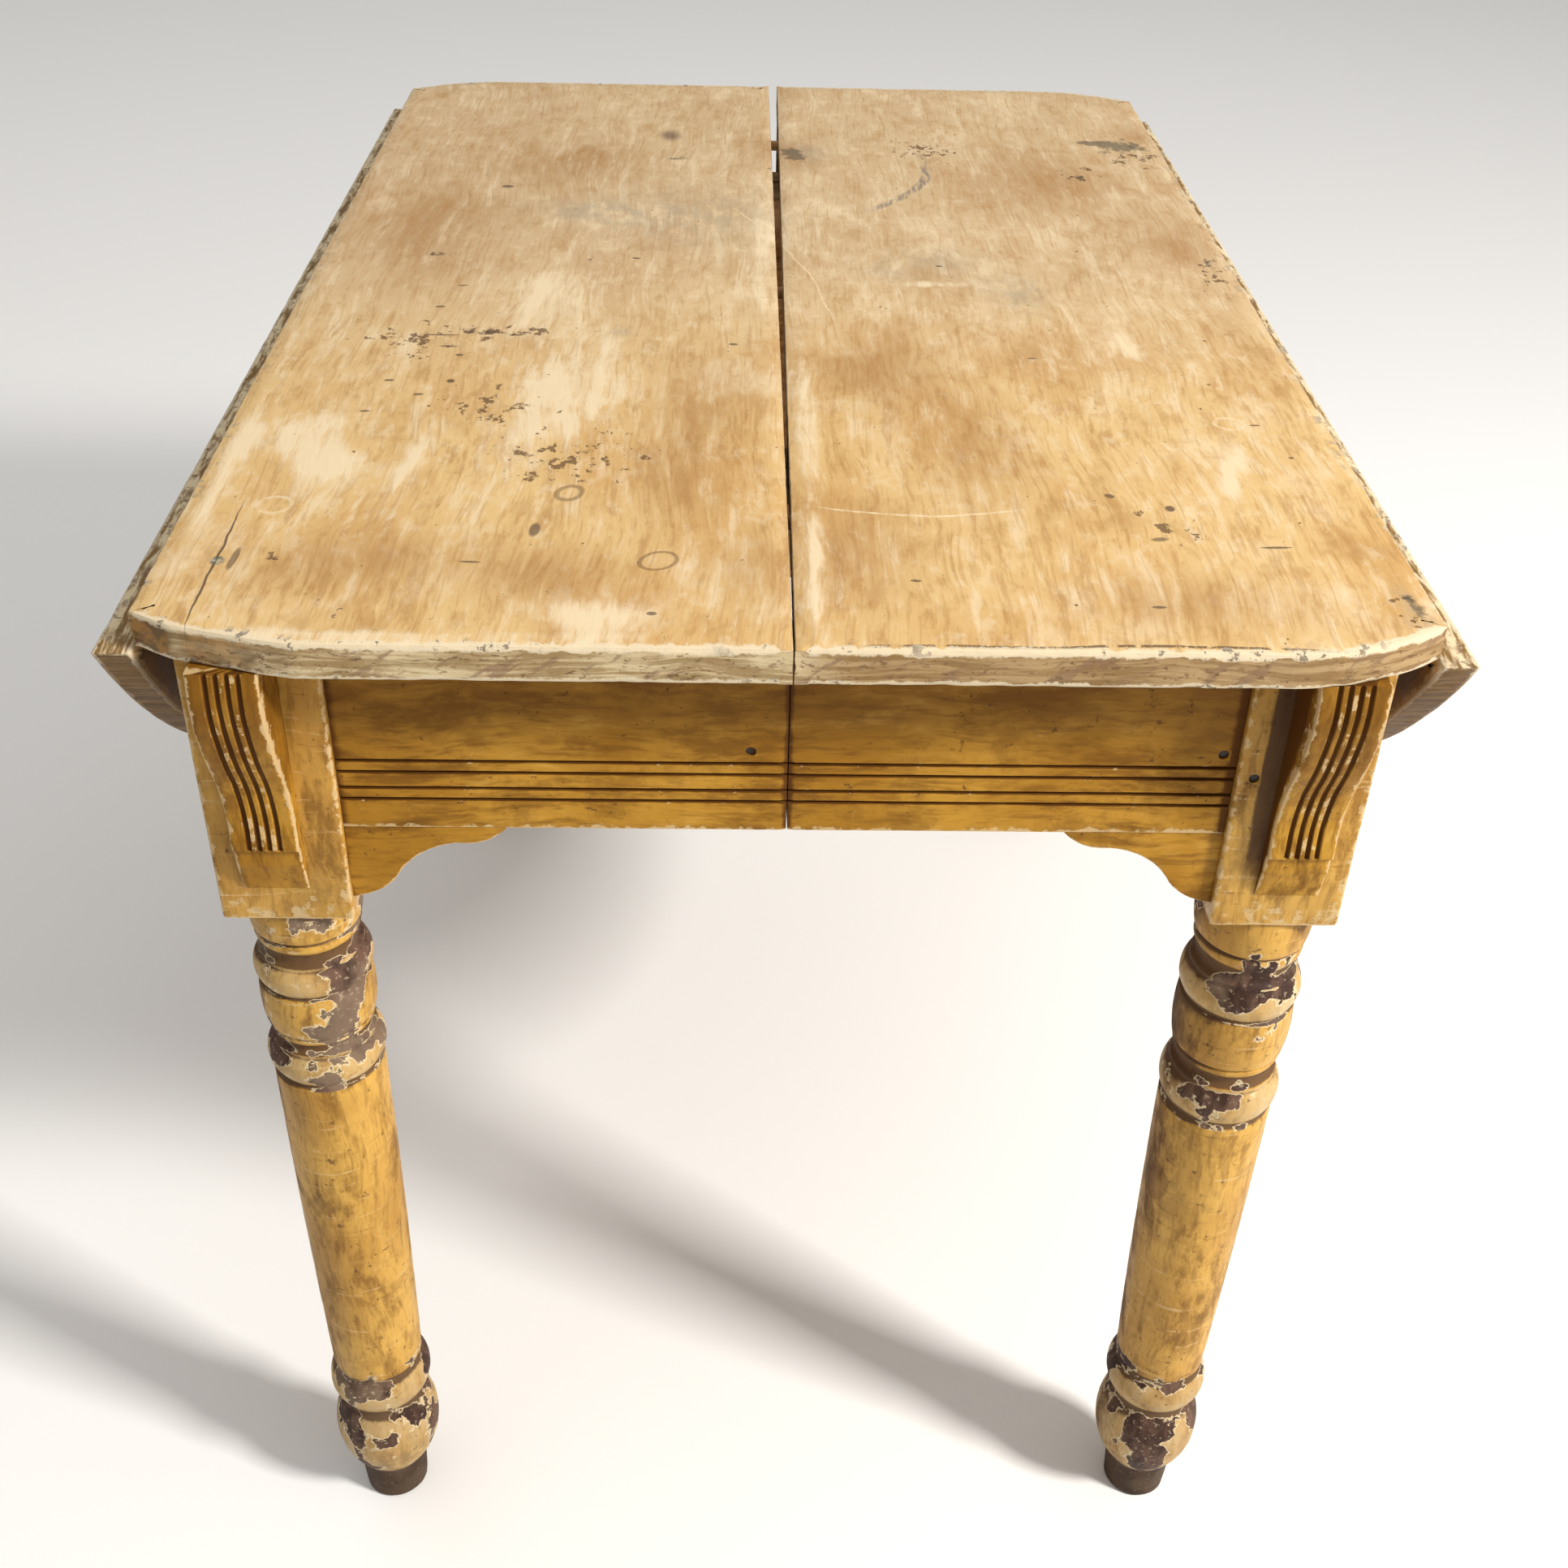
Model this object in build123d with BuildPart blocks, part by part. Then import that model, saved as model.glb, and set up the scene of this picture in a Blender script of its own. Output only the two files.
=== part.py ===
"""Drop-leaf extension table, in millimetres.

X runs across the two leaves, Y along the hinges, Z up. The origin is on the floor under the
middle of the table. The top and both end aprons are split across the middle, so the table is
two halves that slide apart along X on wooden telescopic runners. A leaf hangs at each side.
"""
from build123d import *
import os
from math import asin, atan2, cos, radians, sin, sqrt, tan

os.makedirs("parts", exist_ok=True)

SIDES = {"left": -1, "right": 1}
ENDS = {"front": -1, "back": 1}

# Top
HEIGHT = 737.0
BOARD = 19.0
UNDER = HEIGHT - BOARD
TOP_LENGTH = 976.0
HINGE_X = 317.0
EDGE_PLAY = 0.4
CORNER_RUN = 78.0
CORNER_RISE = 29.0
EDGE_ROUND = 3.5
SPLIT_GAP = {"front": 0.8, "back": 3.6}
LEAF_RADIUS = 563.0
LEAF_BEVEL = 2.5
DOWEL_YS = (-340.0, 0.0, 340.0)
DOWEL_R, DOWEL_HOLE_R = 4.0, 4.3
DOWEL_IN, DOWEL_OUT, DOWEL_HOLE = 28.0, 10.0, 14.0

# Legs
POST = 70.5
POST_OUT_X = 302.0
POST_OUT_Y = 452.0
POST_BOTTOM = 543.0
LEG_X = POST_OUT_X - POST / 2
LEG_Y = POST_OUT_Y - POST / 2
POST_IN_X = POST_OUT_X - POST
POST_IN_Y = POST_OUT_Y - POST
HEAD_STRETCH = {"left": 1.0, "right": 1.21}
GIRTH = {"left": 1.0, "right": 1.04}
SHAFT_FOOT = 141.0

# Aprons
APRON = 22.0
APRON_BOTTOM = 602.0
APRON_SETBACK = 5.0
APRON_OUT_Y = POST_OUT_Y - APRON_SETBACK
APRON_IN_Y = APRON_OUT_Y - APRON
SIDE_OUT_X = LEG_X + APRON / 2
SIDE_IN_X = LEG_X - APRON / 2
TENON = 10.0
TENON_LENGTH = 28.0
TENON_LOW, TENON_HIGH = 620.0, 704.0
GROOVES_Z = (644.3, 637.3, 627.4, 620.4)
GROOVE = 1.8

# Corbels
CORBEL_IN_X = POST_IN_X + 21.1
CORBEL_WIDTH = 34.7
FLUTE = 2.6
FLUTE_PITCH = 5.27
FLUTE_DEPTH = 2.0
CORBEL_BREAK = 597.0
CORBEL_TAIL = 565.0

# Nails, and blocks glued in the corners
NAIL_HEAD_R, NAIL_R = 2.8, 1.5
NAIL_SINK, NAIL_HEAD_END, NAIL_LENGTH = 1.5, 2.7, 28.0
GLUE_BLOCK, SPLIT_BLOCK = 24.0, 20.0
BLOCK_LOW, BLOCK_HIGH = 624.0, 704.0
SPLIT_BLOCK_START, SPLIT_BLOCK_END = 4.0, 52.0

# Telescopic runners
RUNNER = 24.0
RUNNER_PLAY = 0.4
RUNNER_BOTTOM = 672.0
RUNNER_DROP = 1.5
RUNNER_END = 238.0
RUNNER_FACE_Y = {"left": 276.0, "right": 251.2}
MIDDLE_OUT_Y = RUNNER_FACE_Y["left"] - RUNNER_PLAY
MIDDLE_IN_Y = RUNNER_FACE_Y["right"] + RUNNER_PLAY
MIDDLE_END = 245.0
TONGUE = 8.0
TONGUE_Z = 694.0
TONGUE_ROOT, TONGUE_TIP = 5.0, 8.0
TIE_SCREW_X = 11.0
TIE_TOP = RUNNER_BOTTOM - 1.0
TIE_THICK = 12.0
TIE_HALF = 20.0

# Hinges
HINGE_YS = (-310.0, 0.0, 310.0)
HINGE_LENGTH = 60.0
BARREL_R = 3.5
BARREL_POCKET = 4.0
PIN_R = 1.6
PIN_PLAY = 0.05
PLATE = 2.0
PLATE_START = 4.2
TOP_PLATE_END = 26.5
LEAF_PLATE_END = 45.0
KNUCKLE_GAP = 0.3
WEB_END = 2.4
SHORT_SCREW = 14.0

# Props
PROP_PIVOT = 92.0
PROP_OFF = 9.0
PROP_LENGTH = 140.0
PROP_R = 7.0
PROP_WIDTH = 60.0
PROP_TOE = 40.0
PROP_PIN_R = 3.0
PROP_DOWN = 34.75
PROP_TURN = 180.0 - PROP_DOWN
PROP_RATIO = PROP_TURN / 90.0
LUG = 2.5
LUG_BASE = 17.5
LUG_R, LUG_RISE, LUG_PLAY = 7.5, 13.0, 0.3
LUG_SCREW_OUT, LUG_SCREW_RISE = 11.5, 8.0
RIVET_R, RIVET = 4.6, 1.5
PROP_SHOULDER = 20.0
CATCH_TOP, CATCH_BOTTOM = 656.0, 620.0
CATCH_PLAY = 0.2
CATCH_EASE = 1.5
CATCH_HALF = 34.0
CATCH_SCREW_Y, CATCH_SCREW_OUT, CATCH_SCREW_HOLE = 18.0, 6.0, 12.0


def save(builder, node):
    """Label one finished piece and write its STEP file."""
    builder.part.label = node
    export_step(builder.part, f"parts/{node}.step")


def block(low, high):
    """Box between two opposite corners, given in any order."""
    size = [abs(b - a) for a, b in zip(low, high)]
    middle = [(a + b) / 2 for a, b in zip(low, high)]
    with Locations(tuple(middle)):
        Box(*size)


def slot(low, high):
    """Cut a box between two opposite corners."""
    size = [abs(b - a) for a, b in zip(low, high)]
    middle = [(a + b) / 2 for a, b in zip(low, high)]
    with Locations(tuple(middle)):
        Box(*size, mode=Mode.SUBTRACT)


def screws(places, direction, length, head=3.4, shank=1.7, sink=0.0):
    """Countersunk wood screws whose heads lie at the places and point along the direction."""
    with BuildPart() as group:
        for place in places:
            head_plane = Plane(origin=place, z_dir=direction)
            if sink:
                with BuildSketch(head_plane):
                    Circle(head)
                extrude(amount=-sink)
            with BuildSketch(head_plane):
                Circle(head)
            with BuildSketch(head_plane.offset(head - shank)):
                Circle(shank)
            loft()
            with BuildSketch(head_plane.offset(head - shank)):
                Circle(shank)
            extrude(amount=length - 2 * head)
            with BuildSketch(head_plane.offset(length - head - shank)):
                Circle(shank)
            with BuildSketch(head_plane.offset(length)):
                Circle(0.3)
            loft()
    return group


def hinge_top_screw_places(side):
    """Three screws in each plate under the top board."""
    near, far = HINGE_X - 12.0, HINGE_X - 21.0
    for y in HINGE_YS:
        yield (side * near, y, UNDER - PLATE)
        yield (side * far, y - 20.0, UNDER - PLATE)
        yield (side * far, y + 20.0, UNDER - PLATE)


def hinge_leaf_screw_places(side):
    """Three screws in each plate on a leaf's inner face."""
    face = side * (HINGE_X - PLATE)
    for y in HINGE_YS:
        yield (face, y, UNDER - 20.0)
        yield (face, y - 20.0, UNDER - 38.0)
        yield (face, y + 20.0, UNDER - 38.0)


def lug_screw_places(side):
    """Two screws through the base of each prop lug."""
    for across in (-1, 1):
        for z in (UNDER - PROP_PIVOT - LUG_SCREW_RISE, UNDER - PROP_PIVOT + LUG_SCREW_RISE):
            yield (side * (HINGE_X - PLATE), across * (PROP_WIDTH / 2 + LUG_SCREW_OUT), z)


def catch_screw_places(side):
    """Two screws through a catch into its side apron."""
    for across in (-1, 1):
        yield (
            side * (SIDE_OUT_X + CATCH_SCREW_OUT),
            across * CATCH_SCREW_Y,
            (CATCH_TOP + CATCH_BOTTOM) / 2,
        )


def runner_screw_places(side):
    """Three screws up through each fixed runner."""
    for end in ENDS.values():
        y = end * (RUNNER_FACE_Y[name_of(side)] + side_out(side) * RUNNER / 2)
        for x in (40.0, 130.0, 220.0):
            yield (side * x, y, RUNNER_BOTTOM)


def name_of(side):
    """Name of the half with this sign."""
    return "left" if side < 0 else "right"


def side_out(side):
    """The left half's runners lie outside their sliding face, the right half's inside it."""
    return 1 if side < 0 else -1


def nail_places(side):
    """Nail heads on the outer faces of the end aprons and posts: x, y, z and the end's sign."""
    for end in ENDS.values():
        if side < 0:
            yield (side * 19.2, end * APRON_OUT_Y, 652.0, end)
        else:
            yield (side * 223.5, end * APRON_OUT_Y, 652.6, end)
            yield (side * 240.0, end * POST_OUT_Y, 641.4, end)


def nails(side, open_hole):
    """Cut nails, sunk below the face. With open_hole the hole above each head is included."""
    with BuildPart() as group:
        for x, y, z, end in nail_places(side):
            face = Plane(origin=(x, y, z), z_dir=(0, -end, 0))
            start = 0.0 if open_hole else NAIL_SINK
            with BuildSketch(face.offset(start)):
                Circle(NAIL_HEAD_R)
            extrude(amount=NAIL_HEAD_END - start)
            with BuildSketch(face.offset(NAIL_HEAD_END)):
                Circle(NAIL_R)
            extrude(amount=NAIL_LENGTH)
    return group


def dowels(radius, out):
    """Alignment dowels across the split, glued into the left board."""
    with BuildPart() as group:
        for y in DOWEL_YS:
            with BuildSketch(Plane(origin=(-DOWEL_IN, y, UNDER + BOARD / 2), z_dir=(1, 0, 0))):
                Circle(radius)
            extrude(amount=DOWEL_IN + out)
    return group


def arc_to(start, end, bulge):
    """Line, or an arc that stands out by bulge on the right-hand side of its travel."""
    if bulge == 0:
        Line(start, end)
        return
    dx, dy = end[0] - start[0], end[1] - start[1]
    span = sqrt(dx * dx + dy * dy)
    middle = ((start[0] + end[0]) / 2 + bulge * dy / span, (start[1] + end[1]) / 2 - bulge * dx / span)
    ThreePointArc(start, middle, end)


def top_board(side):
    """Half of the fixed top: square at the split and the hinges, with rounded outer corners."""
    half = TOP_LENGTH / 2
    radius = (CORNER_RUN ** 2 + CORNER_RISE ** 2) / (2 * CORNER_RISE)
    turn = asin(CORNER_RUN / radius) / 2
    edge = HINGE_X - EDGE_PLAY
    start_x = edge - CORNER_RUN
    middle = (start_x + radius * sin(turn), half - radius * (1 - cos(turn)))
    with BuildPart() as board:
        with BuildSketch(Plane.XY.offset(UNDER)):
            with BuildLine():
                for end_name, end in ENDS.items():
                    Line((side * SPLIT_GAP[end_name], end * half), (side * start_x, end * half))
                    ThreePointArc(
                        (side * start_x, end * half),
                        (side * middle[0], end * middle[1]),
                        (side * edge, end * (half - CORNER_RISE)),
                    )
                Line((side * edge, CORNER_RISE - half), (side * edge, half - CORNER_RISE))
                Line((side * SPLIT_GAP["front"], -half), (side * SPLIT_GAP["back"], half))
            make_face()
        extrude(amount=BOARD)
        rims = board.edges().group_by(Axis.Z)
        outer = [e for e in rims[0] + rims[-1] if abs(e.center().Y) > half - CORNER_RISE - 1]
        fillet(outer, radius=EDGE_ROUND)
        barrel_pockets(side)
        add(screws(hinge_top_screw_places(side), (0, 0, 1), SHORT_SCREW).part, mode=Mode.SUBTRACT)
        add(runner_screws(side).part, mode=Mode.SUBTRACT)
        if side < 0:
            add(dowels(DOWEL_R, DOWEL_OUT).part, mode=Mode.SUBTRACT)
        else:
            add(dowels(DOWEL_HOLE_R, DOWEL_HOLE).part, mode=Mode.SUBTRACT)
    return board


def barrel_pockets(side):
    """Cut room for the hinge barrels into the arris of a board."""
    with Locations(*[(side * HINGE_X, y, UNDER) for y in HINGE_YS]):
        Cylinder(BARREL_POCKET, HINGE_LENGTH + 1.0, rotation=(90, 0, 0), mode=Mode.SUBTRACT)


def runner_screws(side):
    """Long screws that hold the fixed runners up against the top board."""
    return screws(runner_screw_places(side), (0, 0, 1), 58.0, head=4.0, shank=2.0)


def leg(side, end):
    """Leg in one piece: square post at the top, turned rings, long shaft and bulbous foot."""
    x, y = side * LEG_X, end * LEG_Y
    stretch, girth = HEAD_STRETCH[name_of(side)], GIRTH[name_of(side)]
    # Head turnings: depth below the post, radius, bulge of the stretch that ends there
    head = (
        (22.0, 30.6, 1.2), (24.0, 28.6, 0), (31.0, 28.4, 1.4), (38.5, 27.2, -1.0),
        (41.0, 29.6, 0), (43.0, 29.6, 0), (60.0, 31.2, 3.2), (61.5, 30.6, 0),
        (63.0, 32.0, 0), (92.0, 31.2, 1.3), (93.5, 29.6, 0), (98.0, 29.0, 1.0),
        (103.5, 28.0, -0.8), (106.0, 30.2, 0), (108.0, 30.2, 0), (127.0, 31.6, 3.4),
        (129.0, 30.6, 0), (133.0, 32.4, 0),
    )
    # Foot turnings: height above the floor, radius, bulge
    foot = (
        (SHAFT_FOOT, 29.2, 0.8), (138.5, 27.8, 0), (134.0, 29.0, 0), (108.0, 29.0, 4.4),
        (100.0, 27.4, -1.0), (97.0, 29.2, 0), (35.0, 24.0, 8.0), (31.0, 22.6, 0),
        (2.0, 21.2, 0), (0.0, 19.4, 0),
    )
    with BuildPart() as leg_part:
        block((x - POST / 2, y - POST / 2, POST_BOTTOM), (x + POST / 2, y + POST / 2, UNDER))
        fillet(leg_part.edges().filter_by(Axis.Z), radius=1.5)
        fillet(leg_part.edges().group_by(Axis.Z)[0], radius=3.0)
        with BuildSketch(Plane(origin=(x, y, 0), x_dir=(1, 0, 0), z_dir=(0, -1, 0))):
            with BuildLine():
                Line((0, 0), (0, POST_BOTTOM + 1))
                Line((0, POST_BOTTOM + 1), (31.0 * girth, POST_BOTTOM + 1))
                at = (31.0 * girth, POST_BOTTOM + 1)
                for depth, radius, bulge in head:
                    to = (radius * girth, POST_BOTTOM - depth * stretch)
                    arc_to(at, to, -bulge)
                    at = to
                for height, radius, bulge in foot:
                    to = (radius, height)
                    arc_to(at, to, -bulge)
                    at = to
                Line(at, (0, 0))
            make_face()
        revolve(axis=Axis((x, y, 0), (0, 0, 1)))
        # Mortises for the tenons of the end apron and the side apron
        inner_x, inner_y = side * POST_IN_X, end * POST_IN_Y
        tenon_y = end * (APRON_OUT_Y - APRON / 2)
        slot(
            (inner_x, tenon_y - TENON / 2, TENON_LOW),
            (inner_x + side * TENON_LENGTH, tenon_y + TENON / 2, TENON_HIGH),
        )
        slot(
            (x - TENON / 2, inner_y, TENON_LOW),
            (x + TENON / 2, inner_y + end * TENON_LENGTH, TENON_HIGH),
        )
        add(nails(side, True).part, mode=Mode.SUBTRACT)
    return leg_part


def end_apron(side, end_name):
    """Half of an end apron, tenoned into the post, with two pairs of scratched grooves."""
    end = ENDS[end_name]
    inner, outer = side * SPLIT_GAP[end_name], side * POST_IN_X
    tenon_y = end * (APRON_OUT_Y - APRON / 2)
    with BuildPart() as apron:
        block((inner, end * APRON_OUT_Y, APRON_BOTTOM), (outer, end * APRON_IN_Y, UNDER))
        for z in GROOVES_Z:
            slot(
                (inner, end * APRON_OUT_Y, z - GROOVE / 2),
                (outer, end * (APRON_OUT_Y - GROOVE), z + GROOVE / 2),
            )
        block(
            (outer, tenon_y - TENON / 2, TENON_LOW),
            (outer + side * TENON_LENGTH, tenon_y + TENON / 2, TENON_HIGH),
        )
        add(nails(side, True).part, mode=Mode.SUBTRACT)
    return apron


def side_apron(side):
    """Long apron behind a leaf, tenoned into both posts of its half."""
    x = side * LEG_X
    with BuildPart() as apron:
        block((x - APRON / 2, -POST_IN_Y, APRON_BOTTOM), (x + APRON / 2, POST_IN_Y, UNDER))
        for end in ENDS.values():
            block(
                (x - TENON / 2, end * POST_IN_Y, TENON_LOW),
                (x + TENON / 2, end * (POST_IN_Y + TENON_LENGTH), TENON_HIGH),
            )
        add(catch_screws(side).part, mode=Mode.SUBTRACT)
    return apron


def spandrel(side, end):
    """Bracket under the end apron beside the post, with an ovolo, cove and ovolo edge."""
    with BuildPart() as bracket:
        with BuildSketch(Plane(origin=(0, end * APRON_OUT_Y, 0), x_dir=(1, 0, 0), z_dir=(0, -1, 0))):
            with BuildLine():
                # Distances from the post's inner face and heights
                root, tip = (0.0, 556.0), (84.6, APRON_BOTTOM)
                low, high = (24.5, 569.1), (59.2, 591.9)
                spots = [(side * (POST_IN_X - a), z) for a, z in (
                    tip, (73.5, 593.6), high, (40.5, 586.0), low, (14.5, 560.2), root)]
                ThreePointArc(*spots[0:3])
                ThreePointArc(*spots[2:5])
                ThreePointArc(*spots[4:7])
                Line(spots[6], (side * POST_IN_X, APRON_BOTTOM))
                Line((side * POST_IN_X, APRON_BOTTOM), spots[0])
            make_face()
        extrude(amount=end * APRON)
    return bracket


def corbel(side, end):
    """Fluted S-shaped corbel on the outer face of a post, with a plain tapered tail block."""
    # How far the face stands out from the post, and the height
    swell = ((32.0, UNDER), (34.0, 700.0), (26.0, 666.0), (13.5, 637.0), (9.5, 615.0),
             (10.5, CORBEL_BREAK))
    low_x = min(side * CORBEL_IN_X, side * (CORBEL_IN_X + CORBEL_WIDTH))
    with BuildPart() as carved:
        with BuildSketch(Plane.YZ.offset(low_x)):
            with BuildLine():
                Spline(*[(end * (POST_OUT_Y + out), z) for out, z in swell])
                Polyline(
                    (end * (POST_OUT_Y + 10.5), CORBEL_BREAK),
                    (end * (POST_OUT_Y + 7.5), CORBEL_BREAK - 1.5),
                    (end * (POST_OUT_Y + 7.0), CORBEL_BREAK - 12.0),
                    (end * POST_OUT_Y, CORBEL_TAIL),
                    (end * POST_OUT_Y, UNDER),
                    (end * (POST_OUT_Y + 32.0), UNDER),
                )
            make_face()
        extrude(amount=CORBEL_WIDTH)
        first = low_x + CORBEL_WIDTH / 2 - 1.5 * FLUTE_PITCH - FLUTE / 2
        for flute in range(4):
            with BuildSketch(Plane.YZ.offset(first + flute * FLUTE_PITCH)):
                with BuildLine():
                    Spline(*[(end * (POST_OUT_Y + out - FLUTE_DEPTH), z) for out, z in swell])
                    Polyline(
                        (end * (POST_OUT_Y + 10.5 - FLUTE_DEPTH), CORBEL_BREAK),
                        (end * (POST_OUT_Y + 40.0), CORBEL_BREAK),
                        (end * (POST_OUT_Y + 40.0), UNDER),
                        (end * (POST_OUT_Y + 32.0 - FLUTE_DEPTH), UNDER),
                    )
                make_face()
            extrude(amount=FLUTE, mode=Mode.SUBTRACT)
    return carved


def glue_blocks(side):
    """Blocks glued into the inner corners of a half and behind its split ends."""
    low, high = BLOCK_LOW, BLOCK_HIGH
    with BuildPart() as group:
        for end_name, end in ENDS.items():
            block(
                (side * (POST_IN_X - GLUE_BLOCK), end * APRON_IN_Y, low),
                (side * POST_IN_X, end * (APRON_IN_Y - GLUE_BLOCK), high),
            )
            block(
                (side * POST_IN_X, end * POST_IN_Y, low),
                (side * SIDE_IN_X, end * (POST_IN_Y - GLUE_BLOCK), high),
            )
            block(
                (side * (SPLIT_GAP[end_name] + SPLIT_BLOCK_START), end * APRON_IN_Y, low),
                (side * SPLIT_BLOCK_END, end * (APRON_IN_Y - SPLIT_BLOCK), UNDER),
            )
        add(nails(side, True).part, mode=Mode.SUBTRACT)
    return group


def dovetail(face_y, outward, reach, grow):
    """Dovetail bar along X that stands out of a runner's sliding face."""
    with BuildPart() as bar:
        with BuildSketch(Plane.YZ):
            with BuildLine():
                Polyline(
                    (face_y, TONGUE_Z - TONGUE_ROOT - grow),
                    (face_y + outward * (TONGUE + grow), TONGUE_Z - TONGUE_TIP - grow),
                    (face_y + outward * (TONGUE + grow), TONGUE_Z + TONGUE_TIP + grow),
                    (face_y, TONGUE_Z + TONGUE_ROOT + grow),
                    close=True,
                )
            make_face()
        extrude(amount=reach, both=True)
    return bar


def fixed_runner(side, end):
    """Grooved runner screwed to one half, reaching under the other half."""
    name = name_of(side)
    face = end * RUNNER_FACE_Y[name]
    away = end * side_out(side)
    far = side * -RUNNER_END
    with BuildPart() as runner:
        block((side * SIDE_IN_X, face, RUNNER_BOTTOM), (far, face + away * RUNNER, UNDER))
        slot((side * -6.0, face, UNDER - RUNNER_DROP), (far, face + away * RUNNER, UNDER))
        groove = dovetail(face - away * RUNNER_PLAY, away, SIDE_IN_X, RUNNER_PLAY)
        add(groove.part, mode=Mode.SUBTRACT)
        add(runner_screws(side).part, mode=Mode.SUBTRACT)
    return runner


def middle_runner(end):
    """Middle runner with a dovetail tongue on each face."""
    with BuildPart() as runner:
        block(
            (-MIDDLE_END, end * MIDDLE_OUT_Y, TIE_TOP),
            (MIDDLE_END, end * MIDDLE_IN_Y, UNDER - RUNNER_DROP),
        )
        add(dovetail(end * MIDDLE_OUT_Y, end, MIDDLE_END, 0.0).part)
        add(dovetail(end * MIDDLE_IN_Y, -end, MIDDLE_END, 0.0).part)
        add(tie_screws().part, mode=Mode.SUBTRACT)
    return runner


def tie_screws():
    """Screws that hold the tie under the middle runners."""
    y = (MIDDLE_OUT_Y + MIDDLE_IN_Y) / 2
    places = [(x, end * y, TIE_TOP - TIE_THICK) for x in (-TIE_SCREW_X, TIE_SCREW_X) for end in ENDS.values()]
    return screws(places, (0, 0, 1), 34.0, head=4.0, shank=2.0)


def slide_tie():
    """Cross batten that joins the two middle runners, so that they travel together."""
    with BuildPart() as tie:
        block(
            (-TIE_HALF, -MIDDLE_OUT_Y, TIE_TOP - TIE_THICK),
            (TIE_HALF, MIDDLE_OUT_Y, TIE_TOP),
        )
        add(tie_screws().part, mode=Mode.SUBTRACT)
    return tie


def knuckles(side, y, numbers, bore):
    """Barrel segments of one hinge, numbered from the front, with their bore."""
    step = HINGE_LENGTH / 5
    centres = [y - HINGE_LENGTH / 2 + (number + 0.5) * step for number in numbers]
    with Locations(*[(side * HINGE_X, centre, UNDER) for centre in centres]):
        Cylinder(BARREL_R, step - KNUCKLE_GAP, rotation=(90, 0, 0))
        Cylinder(bore, step, rotation=(90, 0, 0), mode=Mode.SUBTRACT)


def hinge_plates_top(side):
    """Plates screwed under the top board, with the outer and middle knuckles."""
    step = HINGE_LENGTH / 5
    with BuildPart() as plates:
        for y in HINGE_YS:
            block(
                (side * (HINGE_X - PLATE_START), y - HINGE_LENGTH / 2 + KNUCKLE_GAP / 2, UNDER - PLATE),
                (side * (HINGE_X - TOP_PLATE_END), y + HINGE_LENGTH / 2 - KNUCKLE_GAP / 2, UNDER),
            )
            for number in (0, 2, 4):
                centre = y - HINGE_LENGTH / 2 + (number + 0.5) * step
                block(
                    (side * (HINGE_X - PLATE_START), centre - step / 2 + KNUCKLE_GAP / 2, UNDER - PLATE),
                    (side * (HINGE_X - WEB_END), centre + step / 2 - KNUCKLE_GAP / 2, UNDER),
                )
            knuckles(side, y, (0, 2, 4), PIN_R)
        add(screws(hinge_top_screw_places(side), (0, 0, 1), SHORT_SCREW).part, mode=Mode.SUBTRACT)
    return plates


def hinge_plates_leaf(side):
    """Plates on a leaf's inner face, with the two inner knuckles."""
    step = HINGE_LENGTH / 5
    face, inner = side * HINGE_X, side * (HINGE_X - PLATE)
    with BuildPart() as plates:
        for y in HINGE_YS:
            block(
                (face, y - HINGE_LENGTH / 2 + KNUCKLE_GAP / 2, UNDER - PLATE_START),
                (inner, y + HINGE_LENGTH / 2 - KNUCKLE_GAP / 2, UNDER - LEAF_PLATE_END),
            )
            for number in (1, 3):
                centre = y - HINGE_LENGTH / 2 + (number + 0.5) * step
                block(
                    (face, centre - step / 2 + KNUCKLE_GAP / 2, UNDER - PLATE_START),
                    (inner, centre + step / 2 - KNUCKLE_GAP / 2, UNDER - WEB_END),
                )
            knuckles(side, y, (1, 3), PIN_R + PIN_PLAY)
        add(screws(hinge_leaf_screw_places(side), (side, 0, 0), SHORT_SCREW).part, mode=Mode.SUBTRACT)
    return plates


def hinge_pins(side):
    """Steel pins through the hinge barrels."""
    with BuildPart() as pins:
        for y in HINGE_YS:
            with BuildSketch(Plane(origin=(side * HINGE_X, y, UNDER), z_dir=(0, 1, 0))):
                Circle(PIN_R)
            extrude(amount=HINGE_LENGTH / 2, both=True)
    return pins


def leaf(side):
    """Drop leaf, hanging: a segment of the table's round outline with a bevelled rim."""
    face = side * HINGE_X
    with BuildPart() as board:
        with BuildSketch(Plane(origin=(face, 0, UNDER + HINGE_X), z_dir=(side, 0, 0))):
            Circle(LEAF_RADIUS)
        extrude(amount=BOARD)
        chamfer(board.edges().filter_by(GeomType.CIRCLE), length=LEAF_BEVEL)
        slot(
            (face - side * BOARD, -LEAF_RADIUS - BOARD, UNDER - EDGE_PLAY),
            (face + side * 2 * BOARD, LEAF_RADIUS + BOARD, UNDER + HINGE_X + LEAF_RADIUS + BOARD),
        )
        barrel_pockets(side)
        add(screws(hinge_leaf_screw_places(side), (side, 0, 0), SHORT_SCREW).part, mode=Mode.SUBTRACT)
        add(screws(lug_screw_places(side), (side, 0, 0), SHORT_SCREW).part, mode=Mode.SUBTRACT)
    return board


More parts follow.
